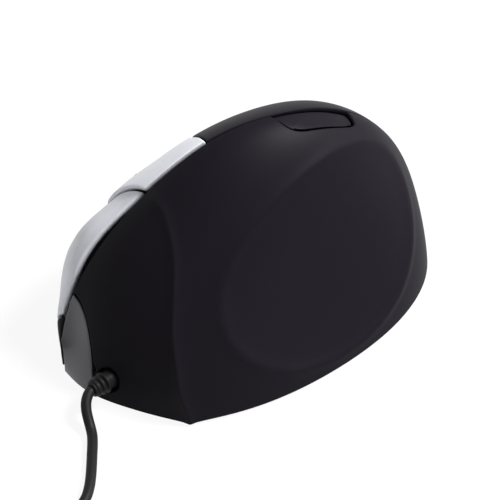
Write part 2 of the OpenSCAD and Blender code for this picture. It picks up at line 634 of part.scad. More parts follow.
// The plate reaches further forward under the wheel
frame_short = switch_b + switch_l + frame_edge;
frame_half = cheek_out + 2 * frame_edge;
module frame_outline() {
    translate([frame_from, -frame_rim]) square([frame_to - frame_from, frame_short + frame_rim]);
    translate([wheel_seat.x - frame_half, -frame_rim]) square([2 * frame_half, frame_front + frame_rim]);
    translate([frame_from, -frame_rim]) square([frame_end - frame_from, 2 * frame_rim]);
}
columns = [for (p = [[-5, -20, 0], [-5, 6, 0], [-14, -8, 0]]) [p.x * scale_xyz.x, p.y * scale_xyz.y, 0]];
base_top = foot_t + base_t;
screw_pilot = screw_d + 2 * run_clear;
module key_frame() {
    color([0.24, 0.24, 0.26])
    difference() {
        union() {
            at_keys() translate([0, 0, frame_top - frame_t]) linear_extrude(frame_t) frame_outline();
            at_keys() for (a = ears) hull() {
                translate([a, -rod_d, frame_top - eps]) cube([ear_w, 2 * rod_d, eps]);
                translate([a, 0, 0]) rotate([0, 90, 0]) cylinder(d = barrel_d, h = ear_w, $fn = 32);
            }
            at_wheel() for (b = [-guide_b, guide_b]) translate([0, b, frame_top - eps - wheel_seat.z])
                cylinder(d = guide_d, h = cradle_top + guide_over - frame_top);
            difference() {
                for (p = columns) translate([p.x, p.y, base_top + seat_gap]) cylinder(d = column_d, h = body_h / 2);
                at_keys() translate([-body_l, -body_l, frame_top - frame_t / 2]) cube(2 * body_l);
            }
        }
        at_keys() translate([rod_start - 1, 0, 0]) rotate([0, 90, 0])
            cylinder(d = rod_d + 2 * run_clear, h = rod_end - rod_start + 2);
        for (p = columns) translate([p.x, p.y, 0]) cylinder(d = screw_pilot, h = foot_t + base_t + screw_l + 1);
    }
}
ear_clear = 0.4;
module key_board() {
    color([0.1, 0.3, 0.16])
    difference() {
        at_keys() translate([0, 0, board_top - board_t]) linear_extrude(board_t) difference() {
            frame_outline();
            for (a = ears) translate([a - ear_clear, -frame_rim - 1])
                square([ear_w + 2 * ear_clear, frame_rim + 1 + barrel_d / 2 + ear_clear]);
        }
        at_wheel() for (b = [-guide_b, guide_b]) translate([0, b, frame_top - frame_t - wheel_seat.z])
            cylinder(d = guide_d + 4 * run_clear, h = 2 * (frame_t + board_t));
    }
}
module switch_box(a) {
    difference() {
        translate([a - switch_w / 2, switch_b, board_top + seat_gap])
            cube([switch_w, switch_l, switch_h - seat_gap]);
        translate([a, plunger_b, switch_top - switch_h / 2])
            cylinder(d = plunger_d + 2 * run_clear, h = switch_h);
    }
}
module key_switches() {
    color([0.1, 0.1, 0.11])
    at_keys() for (s = seats) switch_box(s.x);
}
plunger_foot = 2;
module plunger(seat) {
    color([0.85, 0.2, 0.16])
    at_keys() translate([seat.x, plunger_b, switch_top - plunger_foot])
        cylinder(d = plunger_d, h = plunger_foot + plunger_h);
}
module index_plunger() { plunger(index_seat); }
module middle_plunger() { plunger(middle_seat); }
module ring_plunger() { plunger(ring_seat); }

// Thumb key near the crest, its carrier with two guide pins, and the pillar that holds its switch
thumb_mid_u = (thumb_key_u[0] + thumb_key_u[1]) / 2;
thumb_mid_v = (thumb_key_v + thumb_gap_v + 1 - seam_v) / 2;
// The key sinks away to its rear end and to the seam
thumb_key_sink = 0.4;
thumb_key_fall = 1;
thumb_key_dish = 0.5;
thumb_key_wall = 1.6;
function thumb_dish(x, y) = thumb_key_sink + thumb_key_fall * (x * x + y * y) / 2 + thumb_key_dish * sin(180 * x) * sin(180 * y);
thumb_travel = 0.7;
thumb_c = wall_out(1, thumb_mid_u, thumb_mid_v);
thumb_along = skin(1, thumb_key_u[1], thumb_mid_v) - skin(1, thumb_key_u[0], thumb_mid_v);
thumb_a = unit(thumb_along - thumb_c * (thumb_along * thumb_c));
thumb_b = cross(thumb_c, thumb_a);
thumb_o = thumb_side(thumb_mid_u, thumb_mid_v)
    - thumb_c * (thumb_dish(0.5, 0.5) + thumb_key_wall);
module at_thumb() {
    multmatrix([for (i = [0:2]) [thumb_a[i], thumb_b[i], thumb_c[i], thumb_o[i]]]) children();
}
module thumb_key() {
    us = span(thumb_key_u[0] + thumb_gap_u, thumb_key_u[1] - thumb_gap_u, 8);
    vs = span(thumb_key_v + thumb_gap_v, 1 - seam_v, 5);
    function dish(u, v) = thumb_dish((u - us[0]) / (us[8] - us[0]), (v - vs[0]) / (vs[5] - vs[0]));
    color([0.2, 0.2, 0.22])
    grid_shell(
        [for (u = us) [for (v = vs) let (w = bent(u, v)) thumb_side(w, v) - wall_out(1, w, v) * dish(u, v)]],
        [for (u = us) [for (v = vs) let (w = bent(u, v))
            thumb_side(w, v) - wall_out(1, w, v) * (dish(u, v) + thumb_key_wall)]],
        cells(us, vs, every_cell), true);
}
carrier_l = 12;
carrier_w = 2.6;
carrier_t = 1.2;
// The key's inner face dips at the ends of the carrier, so the carrier sits lower than its middle
carrier_drop = 0.55;
carrier_top = -cap_seat - carrier_drop;
pin_d = 1.6;
pin_a = 5;
pin_l = 7;
thumb_plunger_top = carrier_top - carrier_t - press_gap;
thumb_switch_top = thumb_plunger_top - plunger_h;
shelf_top = thumb_switch_top - switch_h - seat_gap;
module thumb_carrier() {
    color([0.15, 0.15, 0.16])
    at_thumb() union() {
        translate([-carrier_l / 2, -carrier_w / 2, carrier_top - carrier_t]) cube([carrier_l, carrier_w, carrier_t]);
        for (a = [-pin_a, pin_a]) translate([a, 0, carrier_top - carrier_t - pin_l]) cylinder(d = pin_d, h = pin_l + eps);
    }
}
thumb_switch_l = 6;
module thumb_switch() {
    color([0.1, 0.1, 0.11])
    at_thumb() difference() {
        translate([-thumb_switch_l / 2, -switch_w / 2, thumb_switch_top - switch_h])
            cube([thumb_switch_l, switch_w, switch_h]);
        translate([0, 0, thumb_switch_top - switch_h / 2]) cylinder(d = plunger_d + 2 * run_clear, h = switch_h);
    }
}
module thumb_plunger() {
    color([0.85, 0.2, 0.16])
    at_thumb() translate([0, 0, thumb_switch_top - plunger_foot]) cylinder(d = plunger_d, h = plunger_foot + plunger_h);
}
shelf_l = 14;
shelf_w = 8;
shelf_t = 2;
sleeve_d = 3.2;
sleeve_h = 5;
pillar_at = [8.5 * scale_xyz.x, 21 * scale_xyz.y];
module thumb_pillar() {
    color([0.24, 0.24, 0.26])
    difference() {
        union() {
            at_thumb() translate([-shelf_l / 2, -shelf_w / 2, shelf_top - shelf_t]) cube([shelf_l, shelf_w, shelf_t]);
            at_thumb() for (a = [-pin_a, pin_a]) translate([a, 0, shelf_top - eps]) cylinder(d = sleeve_d, h = sleeve_h);
            difference() {
                translate([pillar_at.x, pillar_at.y, base_top + seat_gap]) cylinder(d = column_d, h = body_h);
                at_thumb() translate([-body_l, -body_l, shelf_top - shelf_t / 2]) cube(2 * body_l);
            }
        }
        at_thumb() for (a = [-pin_a, pin_a]) translate([a, 0, shelf_top - shelf_t - 1])
            cylinder(d = pin_d + 2 * run_clear, h = sleeve_h + shelf_t + 2);
        translate([pillar_at.x, pillar_at.y, 0]) cylinder(d = screw_pilot, h = base_top + screw_l + 1);
    }
}

// Base plate, cut to the inside of the shells
rim_us = span(0.01, 0.99, 48);
function rim_v(side, u) = base_t / (3 * (side > 0 ? thumb_climb : finger_climb) * (blend(crest_line, u).z - foot_t));
function rim(side, u, inset) = let (v = rim_v(side, u), n = skin_out(side, u, v),
    p = side > 0 ? thumb_side(u, v) : skin(-1, u, v)) [p.x, p.y] - unit([n.x, n.y]) * inset;
base_inset = shell_wall + base_gap;
module base_outline() {
    polygon(concat([for (u = rim_us) rim(1, u, base_inset)],
        [for (i = [0:len(rim_us) - 1]) rim(-1, rim_us[len(rim_us) - 1 - i], base_inset)]));
}
screw_places = concat([for (p = columns) [p.x, p.y]], [pillar_at]);
head_t = 1.2;
head_clear = 0.2;
board_at = [13 * scale_xyz.x, -9 * scale_xyz.y];
board_bottom = base_top + stand_h + seat_gap;
stand_d = 5;
stand_in = 3;
stands = [for (x = [-1, 1]) for (y = [-1, 1])
    [board_at.x + x * (board_w / 2 - stand_in), board_at.y + y * (board_l / 2 - stand_in)]];
sensor_off = [-2, 4];
sensor_at = board_at + sensor_off;
eye_w = 9;
eye_l = 12;
module base_plate() {
    color([0.13, 0.13, 0.15])
    difference() {
        union() {
            translate([0, 0, foot_t]) linear_extrude(base_t) base_outline();
            for (p = stands) translate([p.x, p.y, base_top - eps]) cylinder(d = stand_d, h = stand_h + eps);
        }
        for (p = screw_places) translate([p.x, p.y, 0]) {
            cylinder(d = screw_pilot, h = 2 * base_top);
            cylinder(d = screw_head_d + 2 * head_clear, h = foot_t + head_t + head_clear);
        }
        for (p = stands) translate([p.x, p.y, base_top]) cylinder(d = screw_pilot, h = stand_h + 1);
        translate([sensor_at.x - eye_w / 2, sensor_at.y - eye_l / 2, 0]) cube([eye_w, eye_l, 2 * base_top]);
    }
}
module screw(length) {
    union() {
        cylinder(d = screw_head_d, h = head_t);
        translate([0, 0, head_t - eps]) cylinder(d = screw_d, h = length);
    }
}
module base_screws() {
    color([0.6, 0.6, 0.62])
    for (p = screw_places) translate([p.x, p.y, foot_t + head_clear]) screw(screw_l);
}
board_screw_l = 4;
module board_screws() {
    color([0.6, 0.6, 0.62])
    for (p = stands) translate([p.x, p.y, board_bottom + board_t + seat_gap + head_t]) rotate([180, 0, 0])
        screw(board_screw_l);
}
sight_s = 6;
module main_board() {
    color([0.1, 0.3, 0.16])
    difference() {
        translate([board_at.x - board_w / 2, board_at.y - board_l / 2, board_bottom]) cube([board_w, board_l, board_t]);
        for (p = stands) translate([p.x, p.y, 0]) cylinder(d = screw_pilot + 2 * head_clear, h = body_h);
        translate([sensor_at.x - sight_s / 2, sensor_at.y - sight_s / 2, 0]) cube([sight_s, sight_s, body_h]);
    }
}
module sensor_chip() {
    color([0.08, 0.08, 0.09])
    translate([sensor_at.x - sensor_s / 2, sensor_at.y - sensor_s / 2, board_bottom + board_t + seat_gap])
        cube([sensor_s, sensor_s, sensor_h]);
}
lens_rim = 2.5;
lens_d = 5;
lens_sink = 0.3;
module sensor_lens() {
    color([0.75, 0.85, 0.9, 0.6])
    translate([sensor_at.x, sensor_at.y, 0]) union() {
        translate([-eye_w / 2 - lens_rim, -eye_l / 2 - lens_rim, base_top + seat_gap])
            cube([eye_w + 2 * lens_rim, eye_l + 2 * lens_rim, stand_h - 2 * seat_gap]);
        translate([0, 0, foot_t + lens_sink]) cylinder(d = lens_d, h = base_t);
    }
}
lamp_d = 3;
lamp_l = 5;
lamp_gap = 1;
module sensor_lamp() {
    color([0.8, 0.1, 0.1])
    translate([sensor_at.x, sensor_at.y + sensor_s / 2 + lamp_l + lamp_gap,
        board_bottom + board_t + seat_gap + lamp_d / 2])
    rotate([90, 0, 0]) union() {
        cylinder(d = lamp_d, h = lamp_l - lamp_d / 2);
        translate([0, 0, lamp_l - lamp_d / 2]) sphere(d = lamp_d - seat_gap);
    }
}
connector_w = 10;
connector_l = 5;
connector_h = 5.5;
connector_in = 6;
connector_at = [board_at.x - connector_l, board_at.y - board_l / 2 + connector_l / 2 + connector_in];
module board_connector() {
    color([0.88, 0.87, 0.82])
    translate([connector_at.x - connector_w / 2, connector_at.y - connector_l / 2, board_bottom + board_t + seat_gap])
        cube([connector_w, connector_l, connector_h]);
}

// Slide feet under the base
foot_w = 10;
foot_l = 18;
foot_places = [[-8, -43, 25], [22, 33, 145], [-22, 33, 35], [17, -34, 150]];
module slide_feet() {
    color([0.3, 0.3, 0.32])
    for (p = foot_places) translate([p.x * scale_xyz.x, p.y * scale_xyz.y, 0]) rotate([0, 0, p.z])
        linear_extrude(foot_t - end_gap) hull() for (s = [-1, 1])
            translate([s * (foot_l - foot_w) / 2, 0]) circle(d = foot_w, $fn = 32);
}

// Strain relief, drawn along +Z and laid down to point straight ahead
module ahead(p) { translate(p) rotate([90, 0, 0]) children(); }
relief_pitch = relief_l / (relief_ribs + 0.5);
relief_flange_t = 1.6;
relief_flange = 0.6;
relief_neck_d = 5;
relief_shoulder = 2.5;
relief_rib = 0.4;
relief_step = 0.5;
relief_over = 1;
module strain_relief() {
    color([0.09, 0.09, 0.1])
    ahead(relief_root + [0, relief_inside, 0]) difference() {
        union() {
            cylinder(d = relief_neck_d, h = relief_inside);
            translate([0, 0, relief_inside - relief_shoulder])
                cylinder(d1 = relief_d, d2 = relief_tip_d, h = relief_shoulder + relief_l);
            translate([0, 0, -relief_flange_t]) cylinder(d = relief_d + 2 * relief_flange, h = relief_flange_t + eps);
            for (i = [0:relief_ribs - 1])
                translate([0, 0, relief_inside + relief_pitch / 2 + i * relief_pitch])
                    cylinder(d = relief_d + relief_rib - relief_step * i, h = relief_pitch / 2);
        }
        translate([0, 0, -relief_flange_t - relief_over]) cylinder(d = cord_d + 2 * run_clear,
            h = relief_flange_t + relief_inside + relief_l + 2 * relief_over);
    }
}

// Tube along points: every ring faces along the path, and the ends are square
function path_dir(pts, i) = unit(pts[min(i + 1, len(pts) - 1)] - pts[max(i - 1, 0)]);
function ring_at(p, d, r, n, lift) = let (side = unit(cross(d, lift)), top = cross(side, d))
    [for (k = [0:n - 1]) p + r * (side * cos(360 * k / n) + top * sin(360 * k / n))];
module tube(pts, d, n) {
    rings = [for (i = [0:len(pts) - 1]) ring_at(pts[i], path_dir(pts, i), d / 2, n, up)];
    last = len(pts) - 1;
    faces = concat(
        [for (k = [1:n - 2]) [0, k, k + 1]],
        [for (k = [1:n - 2]) [last * n, last * n + k + 1, last * n + k]],
        flat([for (i = [0:last - 1]) flat([for (k = [0:n - 1]) let (m = (k + 1) % n)
            [[i * n + k, (i + 1) * n + k, (i + 1) * n + m], [i * n + k, (i + 1) * n + m, i * n + m]]])]));
    polyhedron(flat(rings), faces, convexity = 20);
}
function run_length(pts) = [for (i = 1, s = norm(pts[1] - pts[0]); i < len(pts); i = i + 1,
    s = i < len(pts) ? s + norm(pts[i] - pts[i - 1]) : s) s][len(pts) - 2];

// Lead inside the body, from the relief's flange to the connector on the board
lead_d = 2.4;
lead_end = [connector_at.x, connector_at.y - connector_l / 2 - seat_gap,
    board_bottom + board_t + seat_gap + connector_h / 2];
lead_from = relief_root + [0, relief_inside + relief_flange_t + seat_gap, 0];
lead_points = [for (t = span(0, 1, 10)) let (s = ramp(t, 0, 1))
    [mix(lead_from.x, lead_end.x, s), mix(lead_from.y, lead_end.y, t), mix(lead_from.z, lead_end.z, s)]];
module inner_lead() {
    color([0.1, 0.1, 0.1]) tube(lead_points, lead_d, 8);
}

// Cord from the relief down to the table and out ahead, points chosen along the way it lies
floor_z = cord_d / 2;
cord_from = relief_root - [0, relief_l + seat_gap - cord_d, 0];
run_tail = [[3.7, -63.2, 6.8], [4.8, -64.8, 5.9], [6.3, -66, 4.7], [8.1, -66.9, 3.3], [10.1, -67.8, 2.1],
    [12.2, -69, 1.6], [14.6, -70.9, 1.5], [17.4, -73.4, 1.5], [20.3, -76, 1.5], [23.2, -78.7, 1.5], [26, -81.6, 1.5],
    [28.5, -85, 1.5], [30.4, -89.6, 1.5], [31.3, -95.2, 1.5], [31.2, -101, 1.5], [30.2, -107, 1.5], [28.5, -113.6, 1.6],
    [26.3, -120.4, 2]];
coil_centre = [0, -127];
coil_start = -20;
tie_clear = 0.4;
coil_lift = tie_t + tie_clear;
coil_pitch = cord_d + coil_gap;
coil_layers = 4;
layer_loops = coil_loops / coil_layers;
coil_half = layer_loops * coil_pitch / 2;
// Turns spiral in and out again at a steady rate and climb a layer in the half turn where they reverse
function coil_layer(t) = min(floor(t / layer_loops), coil_layers - 1);
function coil_r_at(t) = let (k = coil_layer(t), s = t / layer_loops - k)
    coil_r + coil_half * (k % 2 == 0 ? 1 - 2 * s : 2 * s - 1);
function coil_level(t) = ramp_sum([for (k = [1:coil_layers - 1]) min(max((t - k * layer_loops) * 2 + 0.5, 0), 1)]);
function ramp_sum(list, i = 0) = i < len(list) ? list[i] + ramp_sum(list, i + 1) : 0;
function coil_point(t) = let (r = coil_r_at(t), a = coil_start - 360 * t)
    [coil_centre.x + r * cos(a), coil_centre.y + r * sin(a), coil_lift + floor_z + coil_pitch * coil_level(t)];
coil_steps = 24;
coil_count = round(coil_loops * coil_steps);
coil_first = coil_point(0);
coil_in = [sin(coil_start), -cos(coil_start), 0];
coil_last = coil_point(coil_loops);
coil_out = let (a = coil_start - 360 * coil_loops) [sin(a), -cos(a), 0];
coil_points = concat([coil_first - coil_in * 2 * cord_d, coil_first - coil_in * cord_d],
    [for (i = [0:coil_count]) coil_point(i / coil_steps)],
    [coil_last + coil_out * cord_d, coil_last + coil_out * 2 * cord_d]);
// Least distance of turns that lie a quarter loop or more apart along the coil, less the cord itself
coil_apart = coil_steps / 4;
coil_self_gap = min([for (i = [0:2:len(coil_points) - coil_apart - 2])
    min([for (j = [i + coil_apart + 1:len(coil_points) - 1]) norm(coil_points[i] - coil_points[j])])]) - cord_d;
run_points = concat(
    [cord_from, cord_from - [0, cord_d, 0]],
    run_tail,
    [coil_points[0] - coil_in * (cord_d + end_gap), coil_points[0] - coil_in * end_gap]);
module cord_run() {
    color([0.09, 0.09, 0.1]) tube(run_points, cord_d, 8);
}
module cord_coil() {
    color([0.09, 0.09, 0.1]) tube(coil_points, cord_d, 6);
}

// Tail from the coil down to the table beside it, and the plug at its end
tail_points_mid = [[-21.5, -141.5, 9.2], [-25.2, -138.1, 6.9], [-27.9, -133.9, 5.2], [-29.4, -129.3, 4.2]];
plug_at = [-30, -121.5, 0];
plug_mid = plug_h / 2;
coil_tip = coil_points[len(coil_points) - 1];
tail_points = concat(
    [coil_tip + coil_out * end_gap, coil_tip + coil_out * (end_gap + cord_d)],
    tail_points_mid,
    [[plug_at.x, plug_at.y - cord_d - end_gap, plug_mid], [plug_at.x, plug_at.y - end_gap, plug_mid]]);
module cord_tail() {
    color([0.09, 0.09, 0.1]) tube(tail_points, cord_d, 8);
}
plug_round = 2;
module plug_grip() {
    color([0.1, 0.1, 0.11])
    translate([plug_at.x, plug_at.y, 0]) hull() for (x = [-1, 1]) for (y = [plug_round, plug_l - plug_round])
        translate([x * (plug_w / 2 - plug_round), y, 0]) cylinder(r = plug_round, h = plug_h, $fn = 24);
}
usb_w = 12;
usb_h = 4.5;
usb_l = 14;
usb_t = 0.5;
usb_inset = 0.6;
usb_hole = 2;
usb_hole_x = 3;
module plug_shell() {
    color([0.78, 0.78, 0.8])
    translate([plug_at.x, plug_at.y + plug_l + seat_gap, plug_mid]) difference() {
        translate([-usb_w / 2, 0, -usb_h / 2]) cube([usb_w, usb_l, usb_h]);
        translate([-usb_w / 2 + usb_t, usb_inset, -usb_h / 2 + usb_t])
            cube([usb_w - 2 * usb_t, usb_l, usb_h - 2 * usb_t]);
        for (x = [-usb_hole_x, usb_hole_x]) translate([x - usb_hole / 2, (usb_l - usb_hole) / 2, -usb_h])
            cube([usb_hole, usb_hole, 2 * usb_h]);
    }
}
tongue_t = 1.8;
tongue_in = 0.8;
module plug_tongue() {
    color([0.9, 0.9, 0.9])
    translate([plug_at.x - usb_w / 2 + usb_t + seat_gap, plug_at.y + plug_l + 2 * seat_gap + usb_inset,
        plug_mid - usb_h / 2 + usb_t + seat_gap])
        cube([usb_w - 2 * usb_t - 2 * seat_gap, usb_l - usb_inset - tongue_in, tongue_t]);
}

// Tie: a closed band round all the turns of the coil
tie_turn = 70;
module cord_tie() {
    low = coil_r - coil_half - cord_d / 2 - tie_w * tie_w / (8 * (coil_r - coil_half - cord_d / 2)) - tie_clear;
    high = coil_r + coil_half + cord_d / 2 + tie_clear;
    bottom = coil_lift - tie_clear / 2;
    top = coil_lift + cord_d + coil_pitch * (coil_layers - 1) + tie_clear;
    color([0.06, 0.06, 0.06])
    translate([coil_centre.x, coil_centre.y, 0]) rotate([0, 0, tie_turn]) difference() {
        translate([low - tie_t, -tie_w / 2, bottom - tie_t]) cube([high - low + 2 * tie_t, tie_w, top - bottom + 2 * tie_t]);
        translate([low, -tie_w, bottom]) cube([high - low, 2 * tie_w, top - bottom]);
    }
}

cord_length = run_length(run_points) + run_length(coil_points) + run_length(tail_points);
echo(key_o = key_o, key_a = key_a, key_b = key_b, key_c = key_c);
echo(index_seat = index_seat, middle_seat = middle_seat, ring_seat = ring_seat, wheel_seat = wheel_seat);
echo(wheel_centre = out_keys(wheel_seat), wheel_axis = wheel_axis, thumb_o = thumb_o, thumb_c = thumb_c);
echo(relief_root = relief_root, coil_self_gap = coil_self_gap, cord_length = cord_length);

thumb_shell();
palm_shell();
nose_panel();
key_skirt();
base_plate();
index_key();
middle_key();
ring_key();
index_lever();
middle_lever();
ring_lever();
hinge_rod();
key_frame();
key_board();
key_switches();
index_plunger();
middle_plunger();
ring_plunger();
wheel_tyre();
wheel_hub();
wheel_cradle();
wheel_encoder();
wheel_switch();
thumb_key();
thumb_carrier();
thumb_pillar();
thumb_switch();
thumb_plunger();
main_board();
sensor_chip();
sensor_lens();
sensor_lamp();
board_connector();
inner_lead();
base_screws();
board_screws();
slide_feet();
strain_relief();
cord_run();
cord_coil();
cord_tail();
cord_tie();
plug_grip();
plug_shell();
plug_tongue();
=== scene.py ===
"""Looks of an upright right-handed mouse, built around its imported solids.

The outer pieces repeat the part's own skin on a finer grid. Shapes are worked out in millimetres and every mesh
is written in metres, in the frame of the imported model: the nose points to -Y, the thumb side to +X, and the feet
stand on z = 0.
"""

import json
import logging
import math
from dataclasses import dataclass
from enum import Enum
from typing import Callable, Sequence

import bpy
import numpy as np
from mathutils import Matrix, Vector


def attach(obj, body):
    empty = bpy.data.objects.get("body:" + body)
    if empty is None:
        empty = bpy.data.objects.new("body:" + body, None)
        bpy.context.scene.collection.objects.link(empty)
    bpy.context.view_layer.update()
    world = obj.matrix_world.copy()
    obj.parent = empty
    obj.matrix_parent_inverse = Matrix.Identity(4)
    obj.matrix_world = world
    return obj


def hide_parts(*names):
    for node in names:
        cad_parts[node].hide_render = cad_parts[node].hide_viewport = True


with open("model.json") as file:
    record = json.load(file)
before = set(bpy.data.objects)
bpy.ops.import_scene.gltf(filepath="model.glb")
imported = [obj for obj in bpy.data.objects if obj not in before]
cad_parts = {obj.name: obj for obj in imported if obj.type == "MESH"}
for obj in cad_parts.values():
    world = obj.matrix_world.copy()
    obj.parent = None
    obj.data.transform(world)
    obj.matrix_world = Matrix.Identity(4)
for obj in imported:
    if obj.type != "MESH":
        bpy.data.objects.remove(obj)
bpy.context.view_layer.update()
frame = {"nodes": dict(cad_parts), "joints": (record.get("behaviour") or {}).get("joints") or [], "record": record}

MM = 0.001
LOG = logging.getLogger("mouse")
UP = np.array([0.0, 0.0, 1.0])
TINY = 1e-9
TINIER = 1e-12
COAT_ROUGH = 0.12
BUMP_STRENGTH = 0.5
TRACK_GAP = 0.09
BRUSH_STRETCH = (1.0, 0.04, 1.0)

Array = np.ndarray
Pair = tuple[float, float]
Point = tuple[float, float, float]
Place = Sequence[float] | float
Span = tuple[str, Place, Place, int]


class Side(Enum):
    """The two sides of the body, with the sign of their outward direction."""

    THUMB = 1
    FINGER = -1

    @property
    def other(self) -> "Side":
        """The opposite side."""
        return Side(-self.value)


class Grain(Enum):
    """Pattern in the surface of a finish."""

    SOFT = "fine even grain"
    FLAKE = "metal flakes in paint"
    BRUSHED = "drawn lines"
    TRACKS = "copper tracks under a mask"


def ramp(x: Array, low: float, high: float) -> Array:
    """Smooth step from 0 at low to 1 at high."""
    t = np.clip((x - low) / (high - low), 0.0, 1.0)
    return t * t * (3.0 - 2.0 * t)


def unit(v: Array) -> Array:
    """Vectors scaled to length 1."""
    return v / np.linalg.norm(v, axis=-1, keepdims=True)


def squared_round(turn: Array, power: float) -> tuple[Array, Array]:
    """Places on a square with rounded corners.

    Args:
        turn: angles round the middle, in radians.
        power: 1 gives a circle, and smaller powers a squarer form.

    Returns:
        The two coordinates, from -1 to 1.
    """
    c, s = np.cos(turn), np.sin(turn)
    return np.sign(c) * np.abs(c) ** power, np.sign(s) * np.abs(s) ** power


def math_node(tree: bpy.types.NodeTree, operation: str, *values: bpy.types.NodeSocket | float) -> bpy.types.NodeSocket:
    """Adds a Math node.

    Args:
        tree: shader tree.
        operation: what the node does.
        values: sockets or numbers, in the order of the node's inputs.

    Returns:
        The node's output.
    """
    node = tree.nodes.new("ShaderNodeMath")
    node.operation = operation
    for into, value in zip(node.inputs, values):
        if isinstance(value, float):
            into.default_value = value
        else:
            tree.links.new(value, into)
    return node.outputs[0]


@dataclass(frozen=True)
class Finish:
    """A surface finish: two close colours mottled together, a grain and its gloss."""

    name: str
    colour: Point
    shade: Point
    grain: Grain = Grain.SOFT
    grain_mm: float = 0.4
    mottle_mm: float = 30.0
    rough: Pair = (0.45, 0.55)
    relief_mm: float = 0.01
    metallic: float = 0.0
    specular: float = 0.5
    coat: float = 0.0
    clear: float = 0.0

    def pattern(self, tree: bpy.types.NodeTree, place: bpy.types.NodeSocket) -> bpy.types.NodeSocket:
        """Adds the grain's texture.

        Args:
            tree: shader tree of the material.
            place: socket with object coordinates.

        Returns:
            The socket that carries the grain from 0 to 1.
        """
        nodes, links, scale = tree.nodes, tree.links, 1.0 / (self.grain_mm * MM)
        if self.grain is Grain.FLAKE:
            cells = nodes.new("ShaderNodeTexVoronoi")
            cells.inputs["Scale"].default_value = scale
            links.new(place, cells.inputs["Vector"])
            split = nodes.new("ShaderNodeSeparateColor")
            links.new(cells.outputs["Color"], split.inputs["Color"])
            return split.outputs["Red"]
        if self.grain is Grain.TRACKS:
            bricks = nodes.new("ShaderNodeTexBrick")
            bricks.inputs["Scale"].default_value = scale
            bricks.inputs["Mortar Size"].default_value = TRACK_GAP
            links.new(place, bricks.inputs["Vector"])
            return bricks.outputs["Fac"]
        noise = nodes.new("ShaderNodeTexNoise")
        noise.inputs["Scale"].default_value = scale
        noise.inputs["Detail"].default_value = 3.0
        if self.grain is Grain.BRUSHED:
            turn = nodes.new("ShaderNodeMapping")
            turn.inputs["Scale"].default_value = BRUSH_STRETCH
            links.new(place, turn.inputs["Vector"])
            place = turn.outputs["Vector"]
        links.new(place, noise.inputs["Vector"])
        return noise.outputs["Fac"]

    def material(self) -> bpy.types.Material:
        """Makes the finish's material, or finds it when it is there already.

        Returns:
            The material.
        """
        found = bpy.data.materials.get(self.name)
        if found:
            return found
        made = bpy.data.materials.new(self.name)
        made.use_nodes = True
        tree = made.node_tree
        nodes, links = tree.nodes, tree.links
        shader = nodes["Principled BSDF"]
        shader.inputs["Metallic"].default_value = self.metallic
        shader.inputs["Specular IOR Level"].default_value = self.specular
        shader.inputs["Coat Weight"].default_value = self.coat
        shader.inputs["Coat Roughness"].default_value = COAT_ROUGH
        shader.inputs["Transmission Weight"].default_value = self.clear
        place = nodes.new("ShaderNodeTexCoord").outputs["Object"]
        grain = self.pattern(tree, place)
        mottle = nodes.new("ShaderNodeTexNoise")
        mottle.inputs["Scale"].default_value = 1.0 / (self.mottle_mm * MM)
        mottle.inputs["Detail"].default_value = 4.0
        links.new(place, mottle.inputs["Vector"])
        half = math_node(tree, "MULTIPLY", mottle.outputs["Fac"], 0.5)
        share = math_node(tree, "MULTIPLY_ADD", grain, 0.5, half)
        mix = nodes.new("ShaderNodeMix")
        mix.data_type = "RGBA"
        mix.inputs["A"].default_value = (*self.colour, 1.0)
        mix.inputs["B"].default_value = (*self.shade, 1.0)
        links.new(share, mix.inputs["Factor"])
        links.new(mix.outputs["Result"], shader.inputs["Base Color"])
        gloss = nodes.new("ShaderNodeMapRange")
        gloss.inputs["To Min"].default_value, gloss.inputs["To Max"].default_value = self.rough
        links.new(share, gloss.inputs["Value"])
        links.new(gloss.outputs["Result"], shader.inputs["Roughness"])
        bump = nodes.new("ShaderNodeBump")
        bump.inputs["Strength"].default_value = BUMP_STRENGTH
        bump.inputs["Distance"].default_value = self.relief_mm * MM
        links.new(grain, bump.inputs["Height"])
        links.new(bump.outputs["Normal"], shader.inputs["Normal"])
        return made


SOFT_TOUCH = Finish("soft_touch", (0.0056, 0.0048, 0.0073), (0.007, 0.006, 0.0087),
                    rough=(0.46, 0.54), specular=0.05)
# The soft-touch colour made a little lighter for the thumb key's cap: a painted sheen standing in for the light that
# falls on its dish.
SOFT_TOUCH_PAINTED_SHEEN = Finish("thumb_cap_painted_sheen", (0.006, 0.0052, 0.0077), (0.0074, 0.0064, 0.0091),
                   rough=(0.44, 0.52), specular=0.05)
SILVER = Finish("silver_paint", (0.65, 0.66, 0.71), (0.72, 0.73, 0.78), Grain.FLAKE, 0.12,
                rough=(0.44, 0.52), relief_mm=0.002, metallic=0.12, specular=0.25)
SMOKE = Finish("smoke_gloss", (0.05, 0.05, 0.062), (0.062, 0.062, 0.075),
               rough=(0.26, 0.34), relief_mm=0.003, coat=0.2)
BLACK_MOULD = Finish("black_moulding", (0.016, 0.016, 0.018), (0.024, 0.024, 0.026), grain_mm=0.25,
                     rough=(0.5, 0.65), relief_mm=0.02)
GREY_MOULD = Finish("grey_moulding", (0.28, 0.29, 0.3), (0.33, 0.34, 0.35), rough=(0.42, 0.52))
STEEL = Finish("plated_steel", (0.55, 0.55, 0.57), (0.66, 0.66, 0.68), Grain.BRUSHED, 0.1,
               rough=(0.22, 0.36), relief_mm=0.004, metallic=1.0)
BOARD = Finish("green_mask", (0.012, 0.085, 0.03), (0.03, 0.16, 0.06), Grain.TRACKS, 2.4,
               rough=(0.32, 0.42), relief_mm=0.03, coat=0.3)
RED_PIN = Finish("red_pin", (0.45, 0.025, 0.02), (0.55, 0.035, 0.025), rough=(0.3, 0.4))
LENS = Finish("clear_lens", (0.72, 0.8, 0.84), (0.8, 0.86, 0.9), rough=(0.06, 0.12), relief_mm=0.001, clear=0.9)
LAMP = Finish("red_lamp", (0.6, 0.03, 0.03), (0.7, 0.05, 0.05), rough=(0.1, 0.18), relief_mm=0.001, clear=0.6)
